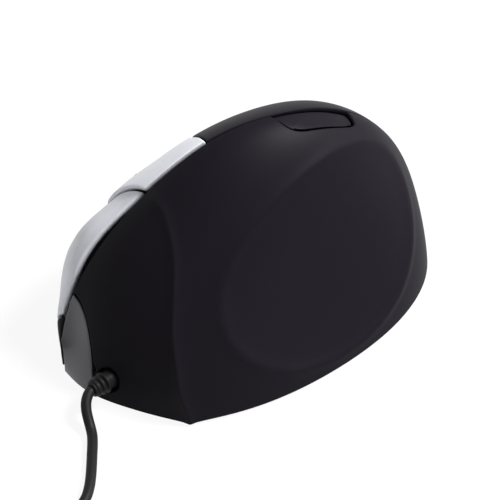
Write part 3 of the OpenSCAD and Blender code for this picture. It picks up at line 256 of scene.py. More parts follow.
IVORY = Finish("ivory_socket", (0.68, 0.65, 0.56), (0.74, 0.71, 0.62), rough=(0.42, 0.5))
RUBBER = Finish("black_vinyl", (0.006, 0.006, 0.0065), (0.009, 0.009, 0.01), grain_mm=0.3,
                rough=(0.42, 0.55), relief_mm=0.015, specular=0.1)
FOOT = Finish("slide_foot", (0.05, 0.05, 0.055), (0.07, 0.07, 0.075), rough=(0.3, 0.4))
PLUG_METAL = Finish("nickel_sheet", (0.6, 0.6, 0.62), (0.7, 0.7, 0.72), Grain.BRUSHED, 0.12,
                    rough=(0.18, 0.3), relief_mm=0.003, metallic=1.0)
WHITE_INSERT = Finish("white_insert", (0.76, 0.76, 0.74), (0.82, 0.82, 0.8), rough=(0.4, 0.5))

FINISH_OF_SLOT = {
    "soft_shell": SOFT_TOUCH, "silver_cap": SILVER, "smoke_trim": SMOKE, "thumb_cap": SOFT_TOUCH_PAINTED_SHEEN,
    "black_moulding": BLACK_MOULD, "grey_moulding": GREY_MOULD, "steel_pin": STEEL, "green_board": BOARD,
    "red_plunger": RED_PIN, "clear_lens": LENS, "red_lamp": LAMP, "ivory_socket": IVORY, "black_rubber": RUBBER,
    "slide_foot": FOOT, "plug_metal": PLUG_METAL, "white_insert": WHITE_INSERT,
}


def link_object(name: str, data: bpy.types.ID) -> bpy.types.Object:
    """Makes an object of some data and links it to the scene."""
    made = bpy.data.objects.new(name, data)
    bpy.context.scene.collection.objects.link(made)
    return made


def smooth_faces(mesh: bpy.types.Mesh) -> None:
    """Shades all faces smooth."""
    mesh.polygons.foreach_set("use_smooth", [True] * len(mesh.polygons))


def add_object(name: str, points: Array, faces: Array | Sequence[Sequence[int]]) -> bpy.types.Object:
    """Makes a smooth-shaded mesh object.

    Args:
        name: name of the object.
        points: vertices in millimetres.
        faces: vertex numbers of each face, counter-clockwise from outside.

    Returns:
        The object, linked to the scene.
    """
    mesh = bpy.data.meshes.new(name)
    mesh.from_pydata((np.asarray(points) * MM).tolist(), [], [[int(i) for i in f] for f in faces])
    mesh.update()
    smooth_faces(mesh)
    return link_object(name, mesh)


def dress(piece: bpy.types.Object, body: str, slot: str, *nodes: str) -> bpy.types.Object:
    """Gives a piece its finish, its body and the solids that it stands for.

    Args:
        piece: object in place.
        body: body that it moves with.
        slot: material slot of the record.
        nodes: solids that it replaces.

    Returns:
        The piece.
    """
    piece.data.materials.clear()
    piece.data.materials.append(FINISH_OF_SLOT[slot].material())
    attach(piece, body)
    if nodes:
        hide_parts(*nodes)
    LOG.info("%s on %s", piece.name, body)
    return piece


def settled(piece: bpy.types.Object) -> bpy.types.Object:
    """Turns a piece with its modifiers into a plain smooth mesh.

    Args:
        piece: object to work on.

    Returns:
        The piece.
    """
    mesh = bpy.data.meshes.new_from_object(piece.evaluated_get(bpy.context.evaluated_depsgraph_get()))
    piece.modifiers.clear()
    piece.data = mesh
    smooth_faces(mesh)
    return piece


def soften(piece: bpy.types.Object, width: float, angle: float = 40.0) -> bpy.types.Object:
    """Rounds the sharp edges of a piece and keeps the result as its plain mesh.

    Args:
        piece: object to work on.
        width: width of the bevel in millimetres.
        angle: edges bent more than this many degrees are rounded.

    Returns:
        The piece.
    """
    bevel = piece.modifiers.new("soft_edges", "BEVEL")
    bevel.width = width * MM
    bevel.segments = 3
    bevel.limit_method = "ANGLE"
    bevel.angle_limit = math.radians(angle)
    return settled(piece)


@dataclass(frozen=True)
class Lines:
    """Grid lines along one way of a surface, in named spans with close lines at both ends of each span."""

    values: Array
    tags: Array

    @staticmethod
    def graded(spans: Sequence[Span], step: Place,
               close: Sequence[float] = (0.0, 0.07, 0.22, 0.45, 0.75, 1.1)) -> "Lines":
        """Lays out the lines.

        Args:
            spans: name, start, end and number of even steps of each span, end to start.
            step: width over which lines lie close at the ends.
            close: places of the close lines, in steps.

        Returns:
            The lines.
        """
        step = np.atleast_1d(np.asarray(step, float))
        values, tags = [], []
        for name, start, end, count in spans:
            a, b = np.atleast_1d(np.asarray(start, float)), np.atleast_1d(np.asarray(end, float))
            room = np.linalg.norm((b - a) / np.where(step == 0, np.inf, step))
            if np.all((step == 0) | (a == b)) or room < 4 * close[-1]:
                rows = np.linspace(a, b, count + 1)
            else:
                near = np.array(close)[:, None] * step
                middle = np.linspace(a + near[-1], b - near[-1], count + 1)[1:-1]
                rows = np.vstack([a + near, middle, (b - near)[::-1]])
            if values:
                rows = rows[1:] if np.allclose(rows[0], values[-1]) else rows
            tags.extend([name] * (len(rows) - (0 if values else 1)))
            values.extend(rows)
        return Lines(np.squeeze(np.array(values)), np.array(tags))

    def with_lines(self, other: "Lines") -> tuple[Array, Array]:
        """Grid of these lines, as rows, and other lines, as columns."""
        return np.meshgrid(self.values, other.values, indexing="ij")


def edge_distance(points: Array, kept: Array) -> Array:
    """Distance of every grid point from the open edges, along the grid's rows.

    Args:
        points: grid of points, rows by columns by 3.
        kept: which cells are there.

    Returns:
        Distances in millimetres, rows by columns.
    """
    rows, cols = points.shape[:2]
    steps = np.linalg.norm(np.diff(points, axis=0), axis=-1)
    run = np.vstack([np.zeros((1, cols)), np.cumsum(steps, axis=0)])
    found = np.full((rows, cols), np.inf)
    padded = np.pad(kept, ((1, 1), (0, 0)))
    for j in range(cols - 1):
        edges = np.flatnonzero(padded[1:, j] != padded[:-1, j])
        if not len(edges):
            continue
        touched = padded[1:, j] | padded[:-1, j]
        for column in (j, j + 1):
            away = np.abs(run[:, column][:, None] - run[edges, column][None, :]).min(axis=1)
            found[:, column] = np.where(touched, np.minimum(found[:, column], away), found[:, column])
    return found


def faced_out(points: Array, quads: Array) -> Array:
    """Turns the faces of a closed form round if they point inwards.

    Args:
        points: points of the form.
        quads: point numbers of its four-sided faces.

    Returns:
        The faces, pointing outwards.
    """
    p = points[quads]
    volume = np.einsum("ij,ij->i", p[:, 0], np.cross(p[:, 1], p[:, 2]) + np.cross(p[:, 2], p[:, 3])).sum()
    return quads if volume > 0 else quads[:, ::-1]


def grid_wall(name: str, outside: Array, through: Array, wall: float, kept: Array | None = None,
              edge: float = 0.5, foot: bool = False) -> bpy.types.Object:
    """Makes a closed wall over a grid, with rounded outer edges.

    Args:
        name: name of the object.
        outside: outer points, rows by columns by 3, in millimetres.
        through: outward direction through the wall at each point.
        wall: thickness.
        kept: which cells are there; all of them by default.
        edge: radius of the outer edges.
        foot: whether the first column stands on the foot line and stays square.

    Returns:
        The object.
    """
    rows, cols = outside.shape[:2]
    kept = np.ones((rows - 1, cols - 1), bool) if kept is None else kept
    inside = outside - through * wall
    along = np.maximum(edge - edge_distance(outside, kept), 0.0)
    beyond = np.pad(kept, ((0, 0), (1, 0)), mode="edge") if foot else kept
    grid = np.concatenate([2 * outside[:, :1] - outside[:, -1:], outside], axis=1) if foot else outside
    across = np.maximum(edge - edge_distance(grid.swapaxes(0, 1), beyond.T).T, 0.0)[:, int(foot):]
    drop = edge - np.sqrt(np.maximum(edge * edge - along * along - across * across, 0.0))
    outside = outside - through * drop[..., None]
    half = rows * cols
    ids = np.arange(half).reshape(rows, cols)
    a, b, c, d = ids[:-1, :-1], ids[1:, :-1], ids[1:, 1:], ids[:-1, 1:]
    padded = np.pad(kept, 1)
    low_col, high_col = kept & ~padded[1:-1, :-2], kept & ~padded[1:-1, 2:]
    low_row, high_row = kept & ~padded[:-2, 1:-1], kept & ~padded[2:, 1:-1]
    sets = [(a, b, c, d, kept), (half + a, half + d, half + c, half + b, kept),
            (half + a, half + b, b, a, low_col), (half + c, half + d, d, c, high_col),
            (half + d, half + a, a, d, low_row), (half + b, half + c, c, b, high_row)]
    quads = np.concatenate([np.stack([q[s[4]] for q in s[:4]], axis=-1) for s in sets])
    points = np.concatenate([outside.reshape(-1, 3), inside.reshape(-1, 3)])
    used, faces = np.unique(faced_out(points, quads), return_inverse=True)
    return add_object(name, points[used], faces.reshape(quads.shape))


def lathe(name: str, profile: Sequence[Pair], axis_at: Array, axis: Array, across: Array,
          sides: int) -> bpy.types.Object:
    """Makes a ring-shaped solid by turning a closed profile.

    Args:
        name: name of the piece.
        profile: places along the axis and radii, in millimetres, round the section.
        axis_at: point on the axis.
        axis: direction of the axis, of length 1.
        across: a direction square to the axis, of length 1.
        sides: steps in a turn.

    Returns:
        The object.
    """
    turn = np.linspace(0, 2 * np.pi, sides, endpoint=False)
    ring = np.cos(turn)[:, None] * across + np.sin(turn)[:, None] * np.cross(axis, across)
    points = np.concatenate([axis_at + axis * s + ring * r for s, r in profile])
    count = len(profile)
    i, j = np.meshgrid(np.arange(count), np.arange(sides), indexing="ij")
    n, m = (i + 1) % count, (j + 1) % sides
    quads = np.stack([i * sides + j, i * sides + m, n * sides + m, n * sides + j], axis=-1).reshape(-1, 4)
    return add_object(name, points, faced_out(points, quads))


@dataclass(frozen=True)
class Stations:
    """A smooth curve along values at even stations, held at both ends."""

    values: tuple

    def at(self, t: Array) -> Array:
        """Finds values along the curve.

        Args:
            t: places from 0 to 1.

        Returns:
            The values, with one more axis for their parts.
        """
        c = np.asarray(self.values, float)
        c = c[:, None] if c.ndim == 1 else c
        c = np.vstack([2 * c[0] - c[1], c, 2 * c[-1] - c[-2]])
        spans = len(c) - 3
        x = np.clip(t, 0.0, 1.0) * spans
        i = np.minimum(np.floor(x), spans - 1).astype(int)
        f = (x - i)[..., None]
        return ((1 - f) ** 3 * c[i] + (3 * f**3 - 6 * f**2 + 4) * c[i + 1]
                + (-3 * f**3 + 3 * f**2 + 3 * f + 1) * c[i + 2] + f**3 * c[i + 3]) / 6


@dataclass(frozen=True)
class SideLines:
    """What shapes one side of the body from nose to heel."""

    base: Stations
    slope: Stations
    reach: Stations
    climb: float
    lean: float


@dataclass(frozen=True)
class BodySkin:
    """Skin of the body: u runs from nose to heel and v from foot to crest, on either side."""

    crest: Stations = Stations((
        (-15, -57.5, 9), (-18, -52.5, 19), (-16.5, -43.5, 35.5), (-11, -28.5, 53), (-5.5, -10.5, 65.5),
        (1, 8.5, 68), (6, 29.5, 61.5), (8, 49.5, 40), (8, 58.5, 10)))
    thumb: SideLines = SideLines(
        Stations(((-13, -58.5), (-2, -60), (11, -54.5), (26, -46), (35.5, -27), (39.5, -2.5), (38.5, 25.5),
                  (28.5, 48.5), (8, 58.5))),
        Stations((0, 0, 0, 0, 5, 8, 0, 0, 0)), Stations((0, 8, 12, 14, 15, 15, 14, 6, 0)), 0.42, 0.1)
    finger: SideLines = SideLines(
        Stations(((-13, -58.5), (-27, -49.5), (-33.5, -34.5), (-37.5, -14.5), (-38.5, 9.5), (-37, 27.5),
                  (-30.5, 42.5), (-15, 54.5), (8, 58.5))),
        Stations((15, 15, 10, 12, 22, 20, 10, 0, 0)), Stations((0, 7, 13, 16, 13, 13, 14, 12, 0)), 0.5, 0.02)
    foot: float = 0.8
    probe: float = 0.001
    steep: float = 0.35
    edge_share: Pair = (0.07, 0.85)
    foot_share: float = 0.1
    hollow_at: Pair = (6.0, 30.0)
    hollow_half: Pair = (36.5, 25.5)
    hollow_turn: float = 12.0
    hollow_taper: float = 0.1
    hollow_rim: float = 1.0
    hollow_depth: float = 5.0
    hollow_lip: float = 0.35
    hollow_lip_share: float = 0.06
    corner_u: float = 0.375
    corner_dip: float = 0.013
    corner_dip_v: Pair = (0.0, 0.16)
    corner_bow: float = 0.03
    corner_bow_v: Pair = (0.3, 0.68)
    corner_back: float = 0.014
    corner_back_v: Pair = (0.76, 1.0)
    corner_rise: float = 2.2
    corner_high: float = 0.3
    corner_high_v: Pair = (0.2, 0.8)
    corner_end_v: Pair = (0.85, 1.0)
    corner_spread: float = 0.035
    corner_soft: float = 0.0018
    corner_lip: float = 0.3
    corner_lip_u: float = 0.008
    corner_lip_v: Pair = (0.9, 1.0)

    def point(self, side: Side, u: Array, v: Array) -> Array:
        """Finds points of the bare skin.

        Args:
            side: side of the body.
            u: places from nose to heel.
            v: places from foot to crest.

        Returns:
            Points in millimetres.
        """
        u, v = np.broadcast_arrays(np.asarray(u, float), np.asarray(v, float))
        lines = self.thumb if side is Side.THUMB else self.finger
        foot = np.concatenate([lines.base.at(u), np.full(u.shape + (1,), self.foot)], axis=-1)
        top = self.crest.at(u)
        way = unit(self.crest.at(u + 2 * self.probe) - self.crest.at(u - 2 * self.probe))
        level = np.hypot(way[..., 0], way[..., 1])
        turned = way[..., 1] + np.maximum(self.steep - level, 0)
        across = unit(np.stack([turned, -way[..., 0], np.zeros_like(level)], -1))
        slope = np.radians(lines.slope.at(u))
        out = side.value * (across * np.cos(slope) + UP * np.sin(slope))
        lean = (top - foot) * lines.lean * np.array([1.0, 1.0, 0.0])
        a = foot + UP * (top[..., 2:] - self.foot) * lines.climb + lean
        b = top + out * lines.reach.at(u)
        v = v[..., None]
        w = 1 - v
        return w**3 * foot + 3 * w * w * v * a + 3 * w * v * v * b + v**3 * top

    def outward(self, side: Side, u: Array, v: Array) -> Array:
        """Finds the outward direction of the bare skin, kept inside the ends of the patch.

        Args:
            side: side of the body.
            u: places from nose to heel.
            v: places from foot to crest.

        Returns:
            Directions of length 1.
        """
        d = self.probe
        u, v = np.clip(u, d, 1 - d), np.clip(v, d, 1 - d)
        along = self.point(side, u + d, v) - self.point(side, u - d, v)
        return side.value * unit(np.cross(along, self.point(side, u, v + d) - self.point(side, u, v - d)))

    def level_foot(self, n: Array, v: Array) -> Array:
        """Directions n, made level where v nears the foot."""
        return n * np.stack([np.ones_like(v), np.ones_like(v), ramp(v, 0.0, self.foot_share)], axis=-1)

    def wall(self, side: Side, u: Array, v: Array) -> Array:
        """Finds the way through the wall, shared by both sides along the crest and at both ends.

        Args:
            side: side of the body.
            u: places from nose to heel.
            v: places from foot to crest.

        Returns:
            Directions from inside to outside.
        """
        u, v = np.broadcast_arrays(np.asarray(u, float), np.asarray(v, float))
        ends, top = self.edge_share
        near = np.maximum.reduce([ramp(v, top, 1.0), ramp(u, 1 - ends, 1.0), 1 - ramp(u, 0.0, ends)])[..., None]
        return self.level_foot(unit(self.outward(side, u, v) + near * self.outward(side.other, u, v)), v)

    def hollow(self, p: Array) -> Array:
        """Finds the depth of the thumb hollow.

        Args:
            p: points of the thumb side.

        Returns:
            Depths in millimetres, below 0 on the hollow's lip.
        """
        turn = math.radians(self.hollow_turn)
        y, z = p[..., 1] - self.hollow_at[0], p[..., 2] - self.hollow_at[1]
        a = (y * math.cos(turn) + z * math.sin(turn)) / self.hollow_half[0]
        b = (z * math.cos(turn) - y * math.sin(turn)) / self.hollow_half[1] * (1 - self.hollow_taper * a)
        q = a * a + b * b
        lip = self.hollow_lip * np.exp(-(((np.sqrt(q) - 1) / self.hollow_lip_share) ** 2))
        return self.hollow_depth * np.maximum(1 - q, 0.0) ** self.hollow_rim - lip

    def corner_line(self, v: Array) -> Array:
        """Place of the front corner along the body, which bows back on its way up."""
        return (self.corner_u - self.corner_dip * ramp(v, *self.corner_dip_v)
                + self.corner_bow * ramp(v, *self.corner_bow_v) - self.corner_back * ramp(v, *self.corner_back_v))

    def thumb_side(self, u: Array, v: Array) -> Array:
        """Finds points of the thumb side with its front corner and its hollow.

        Args:
            u: places from nose to heel.
            v: places from foot to crest.

        Returns:
            Points in millimetres.
        """
        u, v = np.broadcast_arrays(np.asarray(u, float), np.asarray(v, float))
        p = self.point(Side.THUMB, u, v)
        off = u - self.corner_line(v)
        fold = np.exp(-np.sqrt(off**2 + self.corner_soft**2) / self.corner_spread)
        fade = (1 - (1 - self.corner_high) * ramp(v, *self.corner_high_v)) * (1 - ramp(v, *self.corner_end_v))
        lip = self.corner_lip * np.exp(-((off / self.corner_lip_u) ** 2)) * (1 - ramp(v, *self.corner_lip_v))
        rise = self.corner_rise * fade * fold + lip - self.hollow(p)
        return p + self.level_foot(self.outward(Side.THUMB, u, v), v) * rise[..., None]

    def share_u(self, side: Side, u: float, v: float, length: float) -> float:
        """Share of u that covers a length at a place."""
        d = self.probe
        return float(2 * d * length / np.linalg.norm(self.point(side, u + d, v) - self.point(side, u - d, v)))

    def share_v(self, side: Side, u: Array, v: Array, length: Array) -> Array:
        """Finds the share of v that covers a length.

        Args:
            side: side of the body.
            u: places from nose to heel.
            v: places from foot to crest.
            length: lengths in millimetres.

        Returns:
            The shares.
        """
        top = np.minimum(v + self.probe, 1.0)
        step = self.point(side, u, top) - self.point(side, u, top - 2 * self.probe)
        return 2 * self.probe * length / np.linalg.norm(step, axis=-1)


@dataclass(frozen=True)
class KeyEdges:
    """Where the finger keys end on the body, and the gaps round them."""

    keys_u: float = 0.5
    key_gap: float = 0.8
    front_u: float = 0.085
    front_gap: float = 1.2
    skirt_gap: float = 1.0
    mid_v: float = 0.5

    def half_rear(self, skin: BodySkin) -> float:
        """Half the gap behind the keys, as a share of u."""
        return skin.share_u(Side.FINGER, self.keys_u, self.mid_v, self.key_gap / 2)

    def half_front(self, skin: BodySkin) -> float:
        """Half the gap ahead of the keys, as a share of u."""
        return skin.share_u(Side.FINGER, self.front_u, self.mid_v, self.front_gap / 2)


@dataclass(frozen=True)
class Opening:
    """A rounded opening in the thumb shell's grid, with its middle and half size in u and v."""

    u: float
    v: float
    half_u: float
    half_v: float
    roundness: float
    fade: float

    def rounded(self, u: Array, v: Array) -> tuple[Array, Array]:
        """Bends grid places so that the opening's square becomes round.

        Args:
            u: places along the body.
            v: places from foot to crest.

        Returns:
            The bent places.
        """
        x, y = (u - self.u) / self.half_u, (v - self.v) / self.half_v
        reach = np.maximum(np.maximum(np.abs(x), np.abs(y)), TINY)
        power = self.roundness
        full = reach / (np.abs(x) ** power + np.abs(y) ** power + TINIER) ** (1 / power)
        share = 1 + (full - 1) * (1 - ramp(reach, 1.0, self.fade))
        return self.u + x * share * self.half_u, self.v + y * share * self.half_v


@dataclass(frozen=True)
class BodyShells:
    """The two soft-touch shells, the glossy panel on the nose and the skirt under the keys."""

    skin: BodySkin
    edges: KeyEdges = KeyEdges()
    wall: float = 2.0
    skirt_wall: float = 1.8
    seam: float = 0.5
    seam_u: float = 0.65
    nose_seam_u: float = 0.3
    trim_gap: float = 0.6
    nose_u: float = 0.148
    nose_start: float = 0.006
    heel_u: float = 0.9985
    relief_uv: Pair = (0.192, 0.178)
    relief_hole: float = 3.7
    relief_round: Pair = (2.0, 1.6)
    key_u: Pair = (0.617, 0.767)
    key_v: float = 0.845
    key_round: Pair = (6.0, 1.8)
    slant: float = 0.022
    slant_u: Pair = (0.56, 0.7)
    slant_v: float = 0.6
    corner_to: float = 0.56
    edge: float = 0.4
    trim_edge: float = 0.35
    close_u: float = 0.006
    trim_close_u: float = 0.005
    close_v: float = 0.012
    skirt_close: float = 0.05

    def seam_v(self, u: float) -> float:
        """Height of the seam's edge, under the crest."""
        return 1 - float(self.skin.share_v(Side.THUMB, u, 1.0, self.seam / 2))

    def half_trim(self) -> float:
        """Half the gap behind the nose panel, as a share of u."""
        return self.skin.share_u(Side.THUMB, self.nose_u, self.edges.mid_v, self.trim_gap / 2)

    def key_opening(self) -> Opening:
        """Opening of the thumb key, which runs up to the crest."""
        a, b = self.key_u
        return Opening((a + b) / 2, 1.0, (b - a) / 2, 1.0 - self.key_v, *self.key_round)

    def relief_opening(self) -> Opening:
        """Makes the round hole of the strain relief.

        Returns:
            The opening.
        """
        u, v = self.relief_uv
        half_u = self.skin.share_u(Side.THUMB, u, v, self.relief_hole)
        half_v = float(self.skin.share_v(Side.THUMB, u, v, self.relief_hole))
        return Opening(u, v, half_u, half_v, *self.relief_round)

    def bent(self, u: Array, v: Array) -> Array:
        """Bends the thumb shell's grid to its corner and to the slanted front end of the thumb key.

        Args:
            u: places along the body.
            v: places from foot to crest.

        Returns:
            The bent places along the body.
        """
        corner, front, (low, high) = self.skin.corner_u, self.key_u[0], self.slant_u
        hole = self.relief_opening()
        near = np.where(u < corner, ramp(u, hole.u + hole.half_u, corner), 1 - ramp(u, corner, self.corner_to))
        ends = np.where(u < front, ramp(u, low, front), 1 - ramp(u, front, high))
        level = np.where(v < self.key_v, ramp(v, self.slant_v, self.key_v), (1 - v) / (1 - self.key_v))
        return u + (self.skin.corner_line(v) - corner) * near + self.slant * ends * level

    def thumb_shell(self) -> bpy.types.Object:
        """Makes the thumb shell, with the openings of the strain relief and the thumb key.

        Returns:
            The piece.
        """
        skin, hole, key = self.skin, self.relief_opening(), self.key_opening()
        (key_from, key_to), corner = self.key_u, skin.corner_u
        hole_u = (hole.u - hole.half_u, hole.u + hole.half_u)
        hole_v = (hole.v - hole.half_v, hole.v + hole.half_v)
        us = Lines.graded([("front", self.nose_u + self.half_trim(), hole_u[0], 4), ("hole", *hole_u, 14),
                           ("face", hole_u[1], corner, 24), ("side", corner, key_from, 44),
                           ("key", key_from, key_to, 26), ("rear", key_to, self.heel_u, 46)], self.close_u)
        vs = Lines.graded([("foot", 0.0, hole_v[0], 6), ("hole", *hole_v, 14), ("side", hole_v[1], self.key_v, 54),
                           ("key", self.key_v, self.seam_v(self.seam_u), 14)], self.close_v)
        u, v = key.rounded(*hole.rounded(*us.with_lines(vs)))
        u = self.bent(u, v)
        tags_u, tags_v = us.tags[:, None], vs.tags[None, :]
        kept = ~((tags_u == "hole") & (tags_v == "hole")) & ~((tags_u == "key") & (tags_v == "key"))
        return grid_wall("thumb_side_shell", skin.thumb_side(u, v), skin.wall(Side.THUMB, u, v), self.wall, kept,
                         self.edge, True)

    def palm_shell(self) -> bpy.types.Object:
        """Makes the palm shell.

        Returns:
            The piece.
        """
        start = self.edges.keys_u + self.edges.half_rear(self.skin)
        u, v = Lines.graded([("side", start, self.heel_u, 90)], self.close_u).with_lines(
            Lines.graded([("side", 0.0, self.seam_v(self.seam_u), 80)], self.close_v))
        return grid_wall("palm_side_shell", self.skin.point(Side.FINGER, u, v), self.skin.wall(Side.FINGER, u, v),
                         self.wall, None, self.edge, True)

    def nose_panel(self) -> bpy.types.Object:
        """Makes the glossy panel on the nose.

        Returns:
            The piece.
        """
        end = self.nose_u - self.half_trim()
        u, v = Lines.graded([("nose", self.nose_start, end, 30)], self.trim_close_u).with_lines(
            Lines.graded([("nose", 0.0, self.seam_v(self.nose_seam_u), 50)], self.close_v))
        return grid_wall("nose_trim", self.skin.point(Side.THUMB, u, v), self.skin.wall(Side.THUMB, u, v),
                         self.wall, None, self.trim_edge, True)

    def key_skirt(self, skirt_v: Callable[[Array], Array]) -> bpy.types.Object:
        """Makes the trim under the keys, which also closes the nose ahead of them.

        Args:
            skirt_v: height of the skirt's upper edge along u.

        Returns:
            The piece.
        """
        skin, edges = self.skin, self.edges
        split, end = edges.front_u - edges.half_front(skin), edges.keys_u - edges.half_rear(skin)
        top = self.seam_v(self.nose_seam_u)
        us = Lines.graded([("nose", 2 * self.nose_start, split, 20), ("side", split, end, 70)], self.trim_close_u)
        ts = Lines.graded([("low", 0.0, 1.0, 10), ("high", 1.0, 2.0, 30)], self.skirt_close)
        u, t = us.with_lines(ts)
        low = skirt_v(u) - skin.share_v(Side.FINGER, u, skirt_v(u), edges.skirt_gap / 2)
        v = np.where(t < 1, t * low, low + (top - low) * (t - 1))
        kept = (us.tags[:, None] == "nose") | (ts.tags[None, :] == "low")
        return grid_wall("key_skirt_trim", skin.point(Side.FINGER, u, v), skin.wall(Side.FINGER, u, v),
                         self.skirt_wall, kept, self.trim_edge, True)

    def build(self, skirt_v: Callable[[Array], Array]) -> None:
        """Makes the four pieces and dresses them.

        Args:
            skirt_v: height of the skirt's upper edge along u.
        """
        dress(self.thumb_shell(), "shell", "soft_shell", "thumb_shell")
        dress(self.palm_shell(), "shell", "soft_shell", "palm_shell")
        dress(self.nose_panel(), "shell", "smoke_trim", "nose_panel")
        dress(self.key_skirt(skirt_v), "shell", "soft_shell", "key_skirt")


@dataclass(frozen=True)
class ThumbKey:
    """The scooped key by the crest, which sinks away to its rear end and to the seam."""

    shells: BodyShells
    gap: float = 0.55
    gap_at: Pair = (0.7, 0.9)
    sink: float = 0.35
    fall: float = 1.0
    dish: float = 0.5
    wall: float = 1.6
    edge: float = 0.25
    close_u: float = 0.004
    close_v: float = 0.008

    def build(self) -> None:
        """Makes the cap and dresses it."""
        shells, skin, (start, end) = self.shells, self.shells.skin, self.shells.key_u
        gap_u = skin.share_u(Side.THUMB, *self.gap_at, self.gap)
        gap_v = float(skin.share_v(Side.THUMB, *self.gap_at, self.gap))
        us = Lines.graded([("key", start + gap_u, end - gap_u, 40)], self.close_u)
        vs = Lines.graded([("key", shells.key_v + gap_v, shells.seam_v(shells.seam_u), 24)], self.close_v)
        u, v = us.with_lines(vs)
        x, y = (u - u[0, 0]) / (u[-1, 0] - u[0, 0]), (v - v[0, 0]) / (v[0, -1] - v[0, 0])
        u, v = shells.key_opening().rounded(u, v)
        u = shells.bent(u, v)
        wall = skin.wall(Side.THUMB, u, v)
        depth = self.sink + self.fall * (x * x + y * y) / 2 + self.dish * np.sin(np.pi * x) * np.sin(np.pi * y)
        outside = skin.thumb_side(u, v) - wall * depth[..., None]
        cap = grid_wall("thumb_key_cap", outside, wall, self.wall, None, self.edge)
        # The cap takes the soft-touch colour with its painted sheen.
        dress(cap, "thumb_button", "thumb_cap", "thumb_key")


@dataclass(frozen=True)
class FingerKeys:
    """The three silver finger keys, laid out from the skirt's edge (0) to the crest (1)."""

    skin: BodySkin
    edges: KeyEdges = KeyEdges()
    wall: float = 1.8
    edge: float = 0.3
    skirt_h: float = 8.0
    low_crest: float = 30.0
    crest_gap: float = 1.4
    index_gap: float = 0.8
    index_v: float = 0.45
    middle_v: float = 0.23
    index_u: float = 0.375
    index_mid_v: float = 0.6
    ring_u: float = 0.15
    ring_mid_v: float = 0.3
    sweep: float = 0.085
    wheel_u: float = 0.424
    wheel_d: float = 17.0
    wheel_w: float = 5.0
    wheel_proud: float = 1.7
    slot_room: float = 1.1
    index_rises: Pair = (0.6, 1.3)
    index_fall_u: Pair = (0.33, 0.45)
    middle_rises: Pair = (0.2, 2.8)
    middle_fall_u: Pair = (0.25, 0.36)
    middle_start_u: Pair = (0.12, 0.24)
    ring_share: float = 0.6
    groove_depth: float = 0.8
    groove_u: Pair = (0.3, 0.4)
    low_v: Pair = (0.1, 0.4)
    edge_from: float = 0.84
    edge_fall: float = 0.55
    close_u: float = 0.004
    close_k: Pair = (0.0, 0.5)

    def skirt_v(self, u: Array) -> Array:
        """Height of the skirt's upper edge along u."""
        crest = self.skin.crest.at(np.asarray(u, float))[..., 2]
        return self.skirt_h / (3 * self.skin.finger.climb * np.maximum(crest - self.skin.foot, self.low_crest))

    def key_v(self, u: Array, k: Array) -> Array:
        """Height on the skin of a place among the keys."""
        low = self.skirt_v(u)
        return low + (1 - low) * k

    def swept(self, u: Array, k: Array) -> Array:
        """Sweeps places forward, as the index key's front end is.

        Args:
            u: places along the body.
            k: places among the keys.

        Returns:
            The swept places along the body.
        """
        up = (u - self.ring_u) / (self.index_u - self.ring_u)
        down = (self.edges.keys_u - u) / (self.edges.keys_u - self.index_u)
        return u - self.sweep * (1 - k) * np.maximum(np.minimum(up, down), 0.0)

    def index_rise(self, u: Array) -> Array:
        """Height of the index key over the skin."""
        low, more = self.index_rises
        return low + more * (1 - ramp(u, *self.index_fall_u))

    def middle_rise(self, u: Array) -> Array:
        """Height of the middle key over the skin."""
        low, more = self.middle_rises
        return (low + more * (1 - ramp(u, *self.middle_fall_u))) * ramp(u, *self.middle_start_u)

    def ring_rise(self, u: Array) -> Array:
        """Height of the ring key over the skin."""
        return self.ring_share * self.middle_rise(u)

    def cap(self, name: str, us: Lines, lines: Lines, rise: Callable[[Array], Array], band: Pair,
            kept: Array | None = None) -> bpy.types.Object:
        """Makes one key cap.

        Args:
            name: name of the piece.
            us: grid lines along the body.
            lines: grid lines across the keys, as a place and a length further on.
            rise: height of the key over the skin.
            band: lower and upper edge of the finger's groove.
            kept: which cells are there; all of them by default.

        Returns:
            The cap.
        """
        skin, u = self.skin, us.values[:, None]
        base, further = lines.values[None, :, 0], lines.values[None, :, 1]
        k = base + skin.share_v(Side.FINGER, u, self.key_v(u, base), further) / (1 - self.skirt_v(u))
        w = self.swept(u, k)
        v = self.key_v(w, k)
        across = np.clip((k - band[0]) / (band[1] - band[0]), 0, 1)
        groove = self.groove_depth * ramp(w, *self.groove_u) * np.sin(np.pi * across) ** 2
        height = (rise(w) - groove) * ramp(v, *self.low_v) * (1 - self.edge_fall * ramp(k, self.edge_from, 1.0))
        outside = skin.point(Side.FINGER, w, v) + skin.outward(Side.FINGER, w, v) * height[..., None]
        return grid_wall(name, outside, skin.wall(Side.FINGER, w, v), self.wall, kept, self.edge)

    def slot(self) -> Pair:
        """Finds the wheel's slot along the body.

        Returns:
            Its start and end.
        """
        at, keys_u = float(self.swept(self.wheel_u, self.index_v)), self.edges.keys_u
        sunk = self.wheel_d / 2 - self.wheel_proud - self.wall
        half = math.sqrt((self.wheel_d / 2) ** 2 - sunk**2) + self.slot_room
        share = self.skin.share_u(Side.FINGER, at, float(self.key_v(at, self.index_v)), half)
        share *= (keys_u - self.wheel_u) / (keys_u - at)
        return self.wheel_u - share, self.wheel_u + share

    def build(self) -> None:
        """Makes the three caps and dresses them."""
        edges, skin, index_v, middle_v = self.edges, self.skin, self.index_v, self.middle_v
        half, side, skirt = edges.key_gap / 2, self.wheel_w / 2 + self.slot_room, edges.skirt_gap / 2
        rear = edges.keys_u - edges.half_rear(skin)
        index_gap = skin.share_u(Side.FINGER, self.index_u, self.index_mid_v, half)
        ring_gap = skin.share_u(Side.FINGER, self.ring_u, self.ring_mid_v, edges.front_gap / 2)
        front = edges.front_u + edges.half_front(skin)
        slot = self.slot()
        tail = [("slot", *slot, 18), ("rear", slot[1], rear, 8)]

